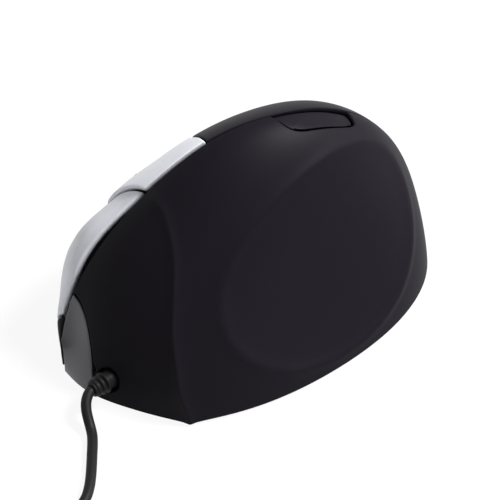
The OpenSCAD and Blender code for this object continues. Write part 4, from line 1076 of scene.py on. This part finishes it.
        us = Lines.graded([("front", self.index_u + index_gap, slot[0], 6), *tail], self.close_u)
        lines = Lines.graded([("slot", (index_v, half), (index_v, side), 8),
                              ("cap", (index_v, side), (1.0, -self.index_gap), 40)], self.close_k)
        kept = ~((us.tags[:, None] == "slot") & (lines.tags[None, :] == "slot"))
        cap = self.cap("index_key_cap", us, lines, self.index_rise, (index_v, 1.0), kept)
        dress(cap, "index_button", "silver_cap", "index_key")

        us = Lines.graded([("nose", front, self.ring_u - ring_gap, 16),
                           ("face", self.ring_u - ring_gap, self.index_u - index_gap, 56),
                           ("neck", self.index_u - index_gap, slot[0], 6), *tail], self.close_u)
        lines = Lines.graded([("ring", (0.0, skirt), (middle_v, half), 14),
                              ("band", (middle_v, half), (index_v, -side), 16),
                              ("slot", (index_v, -side), (index_v, -half), 8),
                              ("top", (index_v, -half), (1.0, -self.crest_gap), 44)], self.close_k)
        tags_u, tags = us.tags[:, None], lines.tags[None, :]
        ahead = (tags_u == "nose") | (tags_u == "face")
        kept = ((tags != "top") | ahead) & ((tags != "ring") | (tags_u == "nose"))
        kept &= ~((tags_u == "slot") & (tags == "slot"))
        cap = self.cap("middle_key_cap", us, lines, self.middle_rise, (middle_v, index_v), kept)
        dress(cap, "middle_button", "silver_cap", "middle_key")

        us = Lines.graded([("ring", self.ring_u + ring_gap, rear, 80)], self.close_u)
        lines = Lines.graded([("ring", (0.0, skirt), (middle_v, -half), 24)], self.close_k)
        cap = self.cap("ring_key_cap", us, lines, self.ring_rise, (0.0, middle_v))
        dress(cap, "ring_button", "silver_cap", "ring_key")


class NodeTool:
    """A Geometry Nodes tree with named inputs, run once on a piece and turned into a plain mesh."""

    def __init__(self, name: str, inputs: dict[str, str]) -> None:
        """Starts a tree.

        Args:
            name: name of the tree.
            inputs: socket type of each input after the geometry, without its common first part.
        """
        self.tree = bpy.data.node_groups.new(name, "GeometryNodeTree")
        face = self.tree.interface
        face.new_socket("Geometry", in_out="INPUT", socket_type="NodeSocketGeometry")
        self.sockets = {n: face.new_socket(n, in_out="INPUT", socket_type=f"NodeSocket{t}").identifier
                        for n, t in {**inputs, "Material": "Material"}.items()}
        face.new_socket("Geometry", in_out="OUTPUT", socket_type="NodeSocketGeometry")
        self.start = self.tree.nodes.new("NodeGroupInput")
        self.end = self.tree.nodes.new("NodeGroupOutput")

    def add(self, kind: str, **links: bpy.types.NodeSocket) -> bpy.types.Node:
        """Adds a node.

        Args:
            kind: type of the node.
            links: sockets to link to its inputs, whose names have underscores for spaces.

        Returns:
            The node.
        """
        node = self.tree.nodes.new(kind)
        for name, source in links.items():
            self.tree.links.new(source, node.inputs[name.replace("_", " ")])
        return node

    def given(self, name: str) -> bpy.types.NodeSocket:
        """Socket of an input."""
        return self.start.outputs[name]

    def close(self, instances: bpy.types.NodeSocket) -> None:
        """Realizes the instances, joins them to the piece and sets the material.

        Args:
            instances: socket with the instances.
        """
        real = self.add("GeometryNodeRealizeInstances", Geometry=instances)
        join = self.add("GeometryNodeJoinGeometry")
        self.tree.links.new(self.given("Geometry"), join.inputs["Geometry"])
        self.tree.links.new(real.outputs["Geometry"], join.inputs["Geometry"])
        done = self.add("GeometryNodeSetMaterial", Geometry=join.outputs["Geometry"], Material=self.given("Material"))
        self.tree.links.new(done.outputs["Geometry"], self.end.inputs["Geometry"])

    def run(self, piece: bpy.types.Object, finish: Finish, **values: object) -> bpy.types.Object:
        """Runs the tree on a piece.

        Args:
            piece: object that takes the result as its plain mesh.
            finish: finish of the result.
            values: value of each other input.

        Returns:
            The piece.
        """
        modifier = piece.modifiers.new(self.tree.name, "NODES")
        modifier.node_group = self.tree
        for name, value in {**values, "Material": finish.material()}.items():
            modifier[self.sockets[name]] = value
        return settled(piece)


def joint_of(name: str) -> dict:
    """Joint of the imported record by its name."""
    return next(j for j in frame["joints"] if j["name"] == name)


@dataclass(frozen=True)
class ScrollWheel:
    """The wheel between the index and middle keys: a rubber tyre with ribs across its tread."""

    radius: float = 8.0
    bore: float = 6.5
    width: float = 5.0
    sides: int = 96
    ribs: int = 24
    rib_h: float = 0.5
    rib_w: float = 1.4
    rib_sink: float = 0.1
    rib_inset: float = 0.3
    rib_soft: float = 0.12
    shoulder: float = 0.5
    shoulder_cut: float = 0.3

    def build(self) -> None:
        """Makes the tyre on its own axis, then lays it on the wheel's joint."""
        floor, half, s = self.radius - self.rib_h, self.width / 2, self.shoulder
        cut = s * self.shoulder_cut
        edge = [(half, self.bore), (half, floor - s), (half - cut, floor - cut), (half - s, floor)]
        section = [(-x, r) for x, r in reversed(edge)] + edge
        tyre = lathe("ribbed_tyre", section, np.zeros(3), np.array([1.0, 0, 0]), UP, self.sides)
        tyre.data.transform(Matrix.Rotation(math.radians(90), 4, "Y"))
        tool = NodeTool("tread_ribs", {"Count": "Int", "Radius": "Float", "Rib": "Vector"})
        ring = tool.add("GeometryNodeMeshCircle", Vertices=tool.given("Count"), Radius=tool.given("Radius"))
        rib = tool.add("GeometryNodeMeshCube", Size=tool.given("Rib"))
        place = tool.add("GeometryNodeInputPosition")
        turned = tool.add("FunctionNodeAlignRotationToVector", Vector=place.outputs["Position"])
        turned.axis = "X"
        ribs = tool.add("GeometryNodeInstanceOnPoints", Points=ring.outputs["Mesh"], Instance=rib.outputs["Mesh"],
                        Rotation=turned.outputs["Rotation"])
        tool.close(ribs.outputs["Instances"])
        size = (self.rib_h + 2 * self.rib_sink, self.rib_w, self.width - 2 * self.rib_inset)
        tool.run(tyre, RUBBER, Count=self.ribs, Radius=(floor + self.rib_h / 2 - self.rib_sink) * MM,
                 Rib=tuple(x * MM for x in size))
        soften(tyre, self.rib_soft)
        spin, press = joint_of("wheel_spin"), joint_of("wheel_press")
        axle, out = Vector(spin["axis"]).normalized(), -Vector(press["axis"]).normalized()
        turn = Matrix((out, axle.cross(out), axle)).transposed().to_4x4()
        tyre.data.transform(Matrix.Translation(Vector(spin["pos_m"])) @ turn)
        dress(tyre, "wheel", "black_rubber", "wheel_tyre")


@dataclass(frozen=True)
class StrainRelief:
    """The ribbed sleeve round the cord where it leaves the nose."""

    root: Point = (3.185, -55.877, 7.201)
    out: float = 5.5
    inside: float = 8.5
    body_d: float = 6.0
    tip_d: float = 4.6
    neck_d: float = 5.0
    flange_d: float = 7.2
    flange_t: float = 1.6
    shoulder: float = 2.5
    bore_clear: float = 0.05
    sides: int = 64
    ribs: int = 3
    rib_rise: float = 0.2
    rib_step: float = 0.25
    waist_depth: float = 0.25
    rib_foot: tuple[Pair, ...] = ((-0.4, 0.1), (-0.1, 0.0), (0.0, 0.05))
    rib_front: tuple[Pair, ...] = ((0.05, 0.22), (0.22, 0.03))
    rib_back: tuple[Pair, ...] = ((0.22, 0.04), (0.03, 0.25), (0.0, 0.5))
    tip_round: tuple[Pair, ...] = ((0.5, -0.05), (0.15, 0.1), (0.0, 0.4))

    def piece(self, cord_d: float) -> bpy.types.Object:
        """Makes the sleeve by turning its section.

        Args:
            cord_d: diameter of the cord.

        Returns:
            The piece.
        """
        bore, pitch = cord_d / 2 + self.bore_clear, self.out / (self.ribs + 0.5)
        flange, body, neck = self.flange_d / 2, self.body_d / 2, self.neck_d / 2
        back = -self.inside - self.flange_t
        section = [(back, bore), (back, flange), (-self.inside, flange), (-self.inside, neck),
                   (-self.shoulder, neck), (-self.shoulder, body)]
        slope = (self.tip_d - self.body_d) / 2 / (self.out + self.shoulder)
        for i in range(self.ribs):
            low, high = pitch / 2 + i * pitch, pitch + i * pitch
            rib = body + self.rib_rise - self.rib_step * i
            waist = body + slope * (low + self.shoulder) - self.waist_depth
            section += [(low + pitch * s, waist + r) for s, r in self.rib_foot]
            section += [(low + s, rib - r) for s, r in self.rib_front]
            section += [((low + high) / 2, rib)]
            section += [(high - s, rib - r) for s, r in self.rib_back]
        section += [(self.out - s, self.tip_d / 2 - r) for s, r in self.tip_round] + [(self.out, bore)]
        return lathe("ribbed_relief", section, np.array(self.root), np.array([0, -1.0, 0]), UP, self.sides)


@dataclass(frozen=True)
class Plug:
    """The moulded grip and the metal shell on the cord's end, which point along +Y."""

    at: Pair = (-30.0, -121.5)
    size: Point = (15.0, 22.0, 7.6)
    profile: tuple[Pair, ...] = (
        (0, 0.3), (0.004, 0.42), (0.02, 0.5), (0.06, 0.58), (0.12, 0.7), (0.2, 0.84), (0.35, 0.97), (0.5, 1.0),
        (0.65, 1.0), (0.8, 1.0), (0.92, 1.0), (0.97, 0.985), (0.99, 0.95), (1.0, 0.9))
    sides: int = 64
    grip_power: float = 0.4
    least_h: float = 0.5
    ridges: int = 5
    ridge_from: float = 0.42
    ridge_pitch: float = 2.2
    ridge_w: float = 1.0
    ridge_inset: float = 1.5
    soft: float = 0.2
    sheet_size: Point = (12.0, 14.0, 4.5)
    sheet_t: float = 0.5
    sheet_power: float = 0.18
    sheet_turn: float = 1.8
    sheet_edge: float = 0.12
    flat_share: float = 0.4
    hole_at: Pair = (3.0, 7.0)
    hole_half: float = 1.0
    hole_rows: tuple[Pair, ...] = ((6.2, 5), (8.5, 9))
    seat: float = 0.1

    def grip(self) -> bpy.types.Object:
        """Makes the moulded grip with its finger ridges.

        Returns:
            The piece.
        """
        w, length, h = self.size
        turn = np.linspace(0, 2 * np.pi, self.sides, endpoint=False)
        x, z = squared_round(turn, self.grip_power)
        rings = [np.stack([self.at[0] + x * w / 2 * q, np.full_like(turn, self.at[1] + length * p),
                           h / 2 + z * h / 2 * max(q, self.least_h)], axis=-1) for p, q in self.profile]
        count, sides = len(rings), self.sides
        i, j = np.meshgrid(np.arange(count - 1), np.arange(sides), indexing="ij")
        m = (j + 1) % sides
        quads = np.stack([i * sides + j, (i + 1) * sides + j, (i + 1) * sides + m, i * sides + m], axis=-1)
        last = (count - 1) * sides
        ends = [list(range(sides)), list(range(last + sides - 1, last - 1, -1))]
        grip = add_object("plug_moulding", np.concatenate(rings), quads.reshape(-1, 4).tolist() + ends)
        tool = NodeTool("grip_ridges", {"Count": "Int", "Start": "Vector", "Step": "Vector", "Ridge": "Vector"})
        line = tool.add("GeometryNodeMeshLine", Count=tool.given("Count"), Start_Location=tool.given("Start"),
                        Offset=tool.given("Step"))
        ridge = tool.add("GeometryNodeMeshCube", Size=tool.given("Ridge"))
        bars = tool.add("GeometryNodeInstanceOnPoints", Points=line.outputs["Mesh"], Instance=ridge.outputs["Mesh"])
        tool.close(bars.outputs["Instances"])
        start = (self.at[0] * MM, (self.at[1] + length * self.ridge_from) * MM, h / 2 * MM)
        tool.run(grip, RUBBER, Count=self.ridges, Start=start, Step=(0, self.ridge_pitch * MM, 0),
                 Ridge=((w - 2 * self.ridge_inset) * MM, self.ridge_w * MM, h * MM))
        return soften(grip, self.soft)

    def sheet(self) -> bpy.types.Object:
        """Makes the folded metal shell, with its two latch holes on each face.

        Returns:
            The piece.
        """
        w, length, h = self.sheet_size
        (hole_x, hole_y), half = self.hole_at, self.hole_half
        turn = np.linspace(0, 2 * np.pi, 121) - np.pi / 2
        x, z = squared_round(turn, self.sheet_power)
        x, z = x * w / 2, z * h / 2
        bend = unit(np.stack(squared_round(turn, self.sheet_turn), axis=-1) + TINY)
        (inner, inner_rows), (outer, outer_rows) = self.hole_rows
        y = np.concatenate([np.linspace(0, hole_y - half, 7), np.linspace(inner, hole_y + half, inner_rows),
                            np.linspace(outer, length, outer_rows)])
        start = self.at[1] + self.size[1] + self.seat
        grid = np.stack(np.broadcast_arrays(self.at[0] + x[:, None], start + y, self.size[2] / 2 + z[:, None]), axis=-1)
        through = np.stack([bend[:, 0], 0 * turn, bend[:, 1]], axis=-1)[:, None, :] + np.zeros_like(grid)
        mid_x, mid_y, mid_z = ((a[1:] + a[:-1]) / 2 for a in (x, y, z))
        hole = (np.abs(np.abs(mid_x) - hole_x) < half) & (np.abs(mid_z) > h * self.flat_share)
        kept = ~(hole[:, None] & (np.abs(mid_y - hole_y) < half)[None, :])
        return grid_wall("plug_sheet", grid, through, self.sheet_t, kept, self.sheet_edge)


@dataclass(frozen=True)
class CordSet:
    """The cord with its strain relief, its coil and tie, and the plug on its end."""

    relief: StrainRelief = StrainRelief()
    plug: Plug = Plug()
    diameter: float = 3.0
    run: tuple[Point, ...] = (
        (3.7, -63.2, 6.8), (4.8, -64.8, 5.9), (6.3, -66, 4.7), (8.1, -66.9, 3.3), (10.1, -67.8, 2.1),
        (12.2, -69, 1.6), (14.6, -70.9, 1.5), (17.4, -73.4, 1.5), (20.3, -76, 1.5), (23.2, -78.7, 1.5),
        (26, -81.6, 1.5), (28.5, -85, 1.5), (30.4, -89.6, 1.5), (31.3, -95.2, 1.5), (31.2, -101, 1.5),
        (30.2, -107, 1.5), (28.5, -113.6, 1.6), (26.3, -120.4, 2))
    coil_at: Pair = (0.0, -127.0)
    coil_from: float = -20.0
    coil_r: float = 16.5
    coil_loops: float = 13.25
    coil_gap: float = 0.5
    coil_layers: int = 4
    coil_lift: float = 1.1
    coil_steps: int = 36
    tail: tuple[Point, ...] = ((-21.5, -141.5, 9.2), (-25.2, -138.1, 6.9), (-27.9, -133.9, 5.2), (-29.4, -129.3, 4.2))
    tie_turn: float = 70.0
    tie_w: float = 7.0
    tie_t: float = 0.7
    tie_clear: float = 0.4
    tie_power: float = 2 / 7
    tie_edge: float = 0.2
    tie_lines: tuple[float, ...] = (-0.5, -0.48, -0.4, -0.2, 0, 0.2, 0.4, 0.48, 0.5)

    @property
    def pitch(self) -> float:
        """Distance between neighbouring turns."""
        return self.diameter + self.coil_gap

    @property
    def layer_loops(self) -> float:
        """Turns in a layer of the coil."""
        return self.coil_loops / self.coil_layers

    def coil(self) -> Array:
        """Winds the coil, which spirals in and out a layer at a time.

        Returns:
            Points along it.
        """
        per = self.layer_loops
        t = np.linspace(0, self.coil_loops, round(self.coil_loops * self.coil_steps) + 1)
        layer = np.minimum(np.floor(t / per), self.coil_layers - 1)
        s = t / per - layer
        r = self.coil_r + per * self.pitch / 2 * np.where(layer % 2 == 0, 1 - 2 * s, 2 * s - 1)
        level = sum(np.clip((t - k * per) * 2 + 0.5, 0, 1) for k in range(1, self.coil_layers))
        a = np.radians(self.coil_from - 360 * t)
        return np.stack([self.coil_at[0] + r * np.cos(a), self.coil_at[1] + r * np.sin(a),
                         self.coil_lift + self.diameter / 2 + self.pitch * level], axis=-1)

    @staticmethod
    def smooth(points: Array, steps: int = 6) -> Array:
        """Lays a smooth curve through points.

        Args:
            points: points to pass.
            steps: even steps from each point to the next.

        Returns:
            Points along the curve.
        """
        p = np.vstack([2 * points[0] - points[1], points, 2 * points[-1] - points[-2]])
        f = np.linspace(0, 1, steps, endpoint=False)[:, None]
        spans = [0.5 * (2 * b + (c - a) * f + (2 * a - 5 * b + 4 * c - d) * f**2 + (3 * b - a - 3 * c + d) * f**3)
                 for a, b, c, d in zip(p[:-3], p[1:-2], p[2:-1], p[3:])]
        return np.vstack([*spans, points[-1:]])

    def route(self) -> Array:
        """Lays the whole cord, from inside the strain relief to the plug.

        Returns:
            Points along it, in millimetres.
        """
        d, coil, plug = self.diameter, self.coil(), self.plug
        start, end = math.radians(self.coil_from), math.radians(self.coil_from - 360 * self.coil_loops)
        into, out = (np.array([math.sin(a), -math.cos(a), 0]) * d for a in (start, end))
        first = np.array(self.relief.root) - [0, self.relief.out + plug.seat - d, 0]
        mid = plug.size[2] / 2
        run = np.vstack([first, first - [0, d, 0], self.run, *(coil[0] - into * k for k in (3, 2, 1, 0))])
        tail = np.vstack([*(coil[-1] + out * k for k in (0, 1, 2, 3)), self.tail,
                          (plug.at[0], plug.at[1] - d, mid), (*plug.at, mid)])
        return np.vstack([self.smooth(run), coil[1:-1], self.smooth(tail)])

    def cord(self) -> bpy.types.Object:
        """Makes the cord as one open curve.

        Returns:
            The piece.
        """
        points = self.route() * MM
        curve = bpy.data.curves.new("cord", "CURVE")
        curve.dimensions = "3D"
        curve.bevel_depth = self.diameter / 2 * MM
        curve.bevel_resolution = 5
        curve.use_fill_caps = True
        line = curve.splines.new("POLY")
        line.points.add(len(points) - 1)
        line.points.foreach_set("co", np.column_stack([points, np.ones(len(points))]).ravel())
        line.use_smooth = True
        return link_object("cord", curve)

    def tie(self) -> bpy.types.Object:
        """Makes the tie: a flat band with rounded corners round all the turns.

        Returns:
            The piece.
        """
        reach = self.layer_loops * self.pitch / 2 + self.diameter / 2
        inner = self.coil_r - reach
        low = inner - self.tie_w**2 / (8 * inner) - self.tie_clear
        high = self.coil_r + reach + self.tie_clear
        bottom = self.coil_lift - self.tie_clear / 2
        top = self.coil_lift + self.diameter + self.pitch * (self.coil_layers - 1) + self.tie_clear
        round_it = np.linspace(0, 2 * np.pi, 97)
        x, z = squared_round(round_it, self.tie_power)
        x = (low + high) / 2 + (high - low + 2 * self.tie_t) / 2 * x
        z = (bottom + top) / 2 + (top - bottom + 2 * self.tie_t) / 2 * z
        y = np.array(self.tie_lines) * self.tie_w
        turn = math.radians(self.tie_turn)
        along, across = (np.array([math.cos(a), math.sin(a), 0]) for a in (turn, turn + math.pi / 2))
        grid = (np.array([*self.coil_at, 0.0]) + x[:, None, None] * along + y[None, :, None] * across
                + z[:, None, None] * UP)
        way = unit(np.stack(squared_round(round_it, 2 - self.tie_power), axis=-1) + TINY)
        through = np.broadcast_to((way[:, :1] * along + way[:, 1:] * UP)[:, None, :], grid.shape)
        return grid_wall("coil_tie", grid, through, self.tie_t, None, self.tie_edge)

    def build(self) -> None:
        cord = dress(self.cord(), "shell", "black_rubber", "cord_run", "cord_coil", "cord_tail")
        relief = dress(self.relief.piece(self.diameter), "shell", "black_rubber", "strain_relief")
        tie = dress(self.tie(), "shell", "black_rubber", "cord_tie")
        grip = dress(self.plug.grip(), "shell", "black_rubber", "plug_grip")
        sheet = dress(self.plug.sheet(), "shell", "plug_metal", "plug_shell")


@dataclass(frozen=True)
class BaseScrews:
    """Cross-head screws in the underside."""

    places: tuple[Pair, ...] = ((-5, -20), (-5, 6), (-14, -8), (8.5, 21))
    head_r: float = 2.0
    head_t: float = 1.2
    head_dome: float = 0.25
    head_edge: float = 0.05
    round_from: float = 1.3
    rim_lines: Point = (1.6, 1.8, 1.95)
    face_z: float = 1.0
    shank_r: float = 1.0
    shank_l: float = 7.0
    shank_core: float = 0.05
    shank_sides: int = 24
    tip_share: float = 0.6
    tip_l: float = 1.0
    slot_w: float = 0.7
    slot_l: float = 2.4
    slot_d: float = 0.8
    slot_wall: float = 0.06
    slot_inner: float = 0.6
    slot_mid: float = 0.75

    def head(self) -> bpy.types.Object:
        """Makes one screw's head at the origin, its face down.

        Returns:
            The head.
        """
        a, b, r, wall = self.slot_w / 2, self.slot_l / 2, self.head_r, self.slot_wall
        half = np.array([0, a * self.slot_inner, a, a + wall, self.slot_mid, b, b + wall, *self.rim_lines, r])
        line = np.concatenate([-half[:0:-1], half])
        x, y = self.rounded(*np.meshgrid(line, line, indexing="ij"))
        across, along = a + wall / 2, b + wall / 2
        cross = (np.abs(x) < across) & (np.abs(y) < along) | (np.abs(y) < across) & (np.abs(x) < along)
        face = self.head_dome * np.hypot(x, y) ** 2 / r**2 + np.where(cross, self.slot_d, 0)
        down = np.stack([0 * x, 0 * x, face - self.head_t], axis=-1)
        return grid_wall("screw_head", np.stack([x, y, face], axis=-1), down, 1.0, None, self.head_edge)

    def rounded(self, x: Array, y: Array) -> tuple[Array, Array]:
        """Bends the outer part of a square grid to a circle.

        Args:
            x: places across the head.
            y: places along the head.

        Returns:
            The bent places.
        """
        reach = np.maximum(np.maximum(np.abs(x), np.abs(y)), TINY)
        share = 1 + (reach / np.hypot(x, y + TINIER) - 1) * ramp(reach, self.round_from, self.head_r)
        return x * share, y * share

    def shank(self) -> bpy.types.Object:
        """Makes one screw's shank over the origin.

        Returns:
            The shank.
        """
        low, high, r = self.head_t, self.head_t + self.shank_l, self.shank_r
        section = [(low, r), (low, self.shank_core), (high, self.shank_core), (high, r * self.tip_share),
                   (high - self.tip_l, r)]
        return lathe("screw_shank", section, np.zeros(3), UP, np.array([1.0, 0, 0]), self.shank_sides)

    def build(self) -> None:
        """Sets a screw at each place and dresses them."""
        head, shank = self.head(), self.shank()
        points = add_object("cross_screws", np.array([(x, y, self.face_z) for x, y in self.places]), [])
        tool = NodeTool("screws_on_points", {"Head": "Object", "Shank": "Object"})
        parts = tool.add("GeometryNodeJoinGeometry")
        for name in ("Head", "Shank"):
            info = tool.add("GeometryNodeObjectInfo", Object=tool.given(name))
            tool.tree.links.new(info.outputs["Geometry"], parts.inputs["Geometry"])
        screws = tool.add("GeometryNodeInstanceOnPoints", Points=tool.given("Geometry"),
                          Instance=parts.outputs["Geometry"])
        tool.close(screws.outputs["Instances"])
        tool.run(points, STEEL, Head=head, Shank=shank)
        bpy.data.objects.remove(head)
        bpy.data.objects.remove(shank)
        dress(points, "shell", "steel_pin", "base_screws")


class InnerParts:
    """The solids that show as they are, each with the finish of its slot."""

    def build(self) -> None:
        """Gives every solid the finish of its material slot."""
        slots = {row["node"]: row["material_slot"] for row in frame["record"]["subparts"]}
        for name, node in frame["nodes"].items():
            node.data.materials.clear()
            node.data.materials.append(FINISH_OF_SLOT[slots[name]].material())
        LOG.info("%d solids finished", len(slots))


def aim(made: bpy.types.Object, place: Vector, way: Vector) -> None:
    """Sets a lamp or camera at a place, looking along a way."""
    made.location, made.rotation_mode = place, "QUATERNION"
    made.rotation_quaternion = way.to_track_quat("-Z", "Y")


@dataclass(frozen=True)
class AreaLamp:
    """A soft rectangular lamp aimed at the body."""

    name: str
    place: Point
    size: Pair
    watts: float

    def build(self, target: Vector) -> None:
        """Sets up the lamp.

        Args:
            target: point that it shines at, in metres.
        """
        lamp = bpy.data.lights.new(self.name, "AREA")
        lamp.shape = "RECTANGLE"
        lamp.size, lamp.size_y = self.size
        lamp.energy = self.watts
        place = Vector(self.place)
        aim(link_object(self.name, lamp), place, target - place)


@dataclass(frozen=True)
class Studio:
    """Camera, pale floor, white surroundings and soft lamps."""

    azimuth: float = 48.0
    elevation: float = 45.0
    distance: float = 0.9
    lens: float = 229.39
    sensor: float = 36.0
    clip: Pair = (0.01, 100.0)
    target: Point = (0.00512, -0.00383, 0.02531)
    ambient: float = 0.16
    floor_glow: float = 0.92
    floor_grey: float = 0.8
    floor_rough: float = 0.9
    floor_half: float = 4000.0
    floor_drop: float = 0.05
    lamps: tuple[AreaLamp, ...] = (
        AreaLamp("rear_lamp", (0.35, 1.1, 0.3), (0.25, 0.35), 2.5),
        AreaLamp("top_lamp", (0.4, 0.6, 1.0), (0.3, 0.3), 33.0),
        AreaLamp("nose_lamp", (-1.0, -0.6, 0.35), (0.6, 0.6), 0.8),
        AreaLamp("front_lamp", (0.8, -0.8, 0.5), (0.6, 0.6), 0.6),
    )

    def camera(self) -> None:
        """Sets up the camera at the photograph's viewing angle."""
        a, e = math.radians(self.azimuth), math.radians(self.elevation)
        back = Vector((math.sin(a) * math.cos(e), -math.cos(a) * math.cos(e), math.sin(e)))
        data = bpy.data.cameras.new("camera")
        data.lens, data.sensor_width = self.lens, self.sensor
        data.clip_start, data.clip_end = self.clip
        made = link_object("camera", data)
        aim(made, Vector(self.target) + back * self.distance, -back)
        bpy.context.scene.camera = made

    @staticmethod
    def seen(tree: bpy.types.NodeTree) -> bpy.types.NodeSocket:
        """Adds the test for rays that show the background.

        Args:
            tree: shader tree.

        Returns:
            A socket that is 1 for camera, glossy and transmission rays.
        """
        path = tree.nodes.new("ShaderNodeLightPath").outputs
        both = math_node(tree, "MAXIMUM", path["Is Camera Ray"], path["Is Glossy Ray"])
        return math_node(tree, "MAXIMUM", both, path["Is Transmission Ray"])

    def world(self) -> None:
        """Sets up white surroundings that light the object at a plain level."""
        world = bpy.data.worlds.new("studio")
        bpy.context.scene.world = world
        world.use_nodes = True
        nodes, links = world.node_tree.nodes, world.node_tree.links
        light, white = nodes["Background"], nodes.new("ShaderNodeBackground")
        for shader, strength in ((light, self.ambient), (white, 1.0)):
            shader.inputs["Color"].default_value = (1.0, 1.0, 1.0, 1.0)
            shader.inputs["Strength"].default_value = strength
        mix = nodes.new("ShaderNodeMixShader")
        links.new(self.seen(world.node_tree), mix.inputs["Fac"])
        links.new(light.outputs["Background"], mix.inputs[1])
        links.new(white.outputs["Background"], mix.inputs[2])
        links.new(mix.outputs["Shader"], nodes["World Output"].inputs["Surface"])

    def floor(self) -> None:
        """Lays a pale floor that keeps the object's shadow."""
        h, z = self.floor_half, -self.floor_drop
        plane = add_object("floor", np.array([(-h, -h, z), (h, -h, z), (h, h, z), (-h, h, z)]), [[0, 1, 2, 3]])
        made = bpy.data.materials.new("pale_floor")
        made.use_nodes = True
        tree = made.node_tree
        nodes, links = tree.nodes, tree.links
        shader = nodes["Principled BSDF"]
        shader.inputs["Base Color"].default_value = (self.floor_grey, self.floor_grey, self.floor_grey, 1.0)
        shader.inputs["Roughness"].default_value = self.floor_rough
        shader.inputs["Specular IOR Level"].default_value = 0.0
        glow = nodes.new("ShaderNodeEmission")
        glow.inputs["Strength"].default_value = 1.0
        mix = nodes.new("ShaderNodeMixShader")
        links.new(math_node(tree, "MULTIPLY", self.seen(tree), self.floor_glow), mix.inputs["Fac"])
        links.new(shader.outputs["BSDF"], mix.inputs[1])
        links.new(glow.outputs["Emission"], mix.inputs[2])
        links.new(mix.outputs["Shader"], nodes["Material Output"].inputs["Surface"])
        plane.data.materials.append(made)

    def build(self) -> None:
        """Sets up the whole studio."""
        bpy.context.scene.view_settings.view_transform = "Standard"
        self.camera()
        self.world()
        self.floor()
        for lamp in self.lamps:
            lamp.build(Vector(self.target))


def main() -> None:
    """Builds the scene in order."""
    logging.basicConfig(level=logging.INFO, format="%(name)s: %(message)s")
    Studio().build()
    CordSet().build()
    skin = BodySkin()
    shells = BodyShells(skin)
    keys = FingerKeys(skin)
    InnerParts().build()
    shells.build(keys.skirt_v)
    keys.build()
    ThumbKey(shells).build()
    ScrollWheel().build()
    BaseScrews().build()


if __name__ == "__main__":
    main()
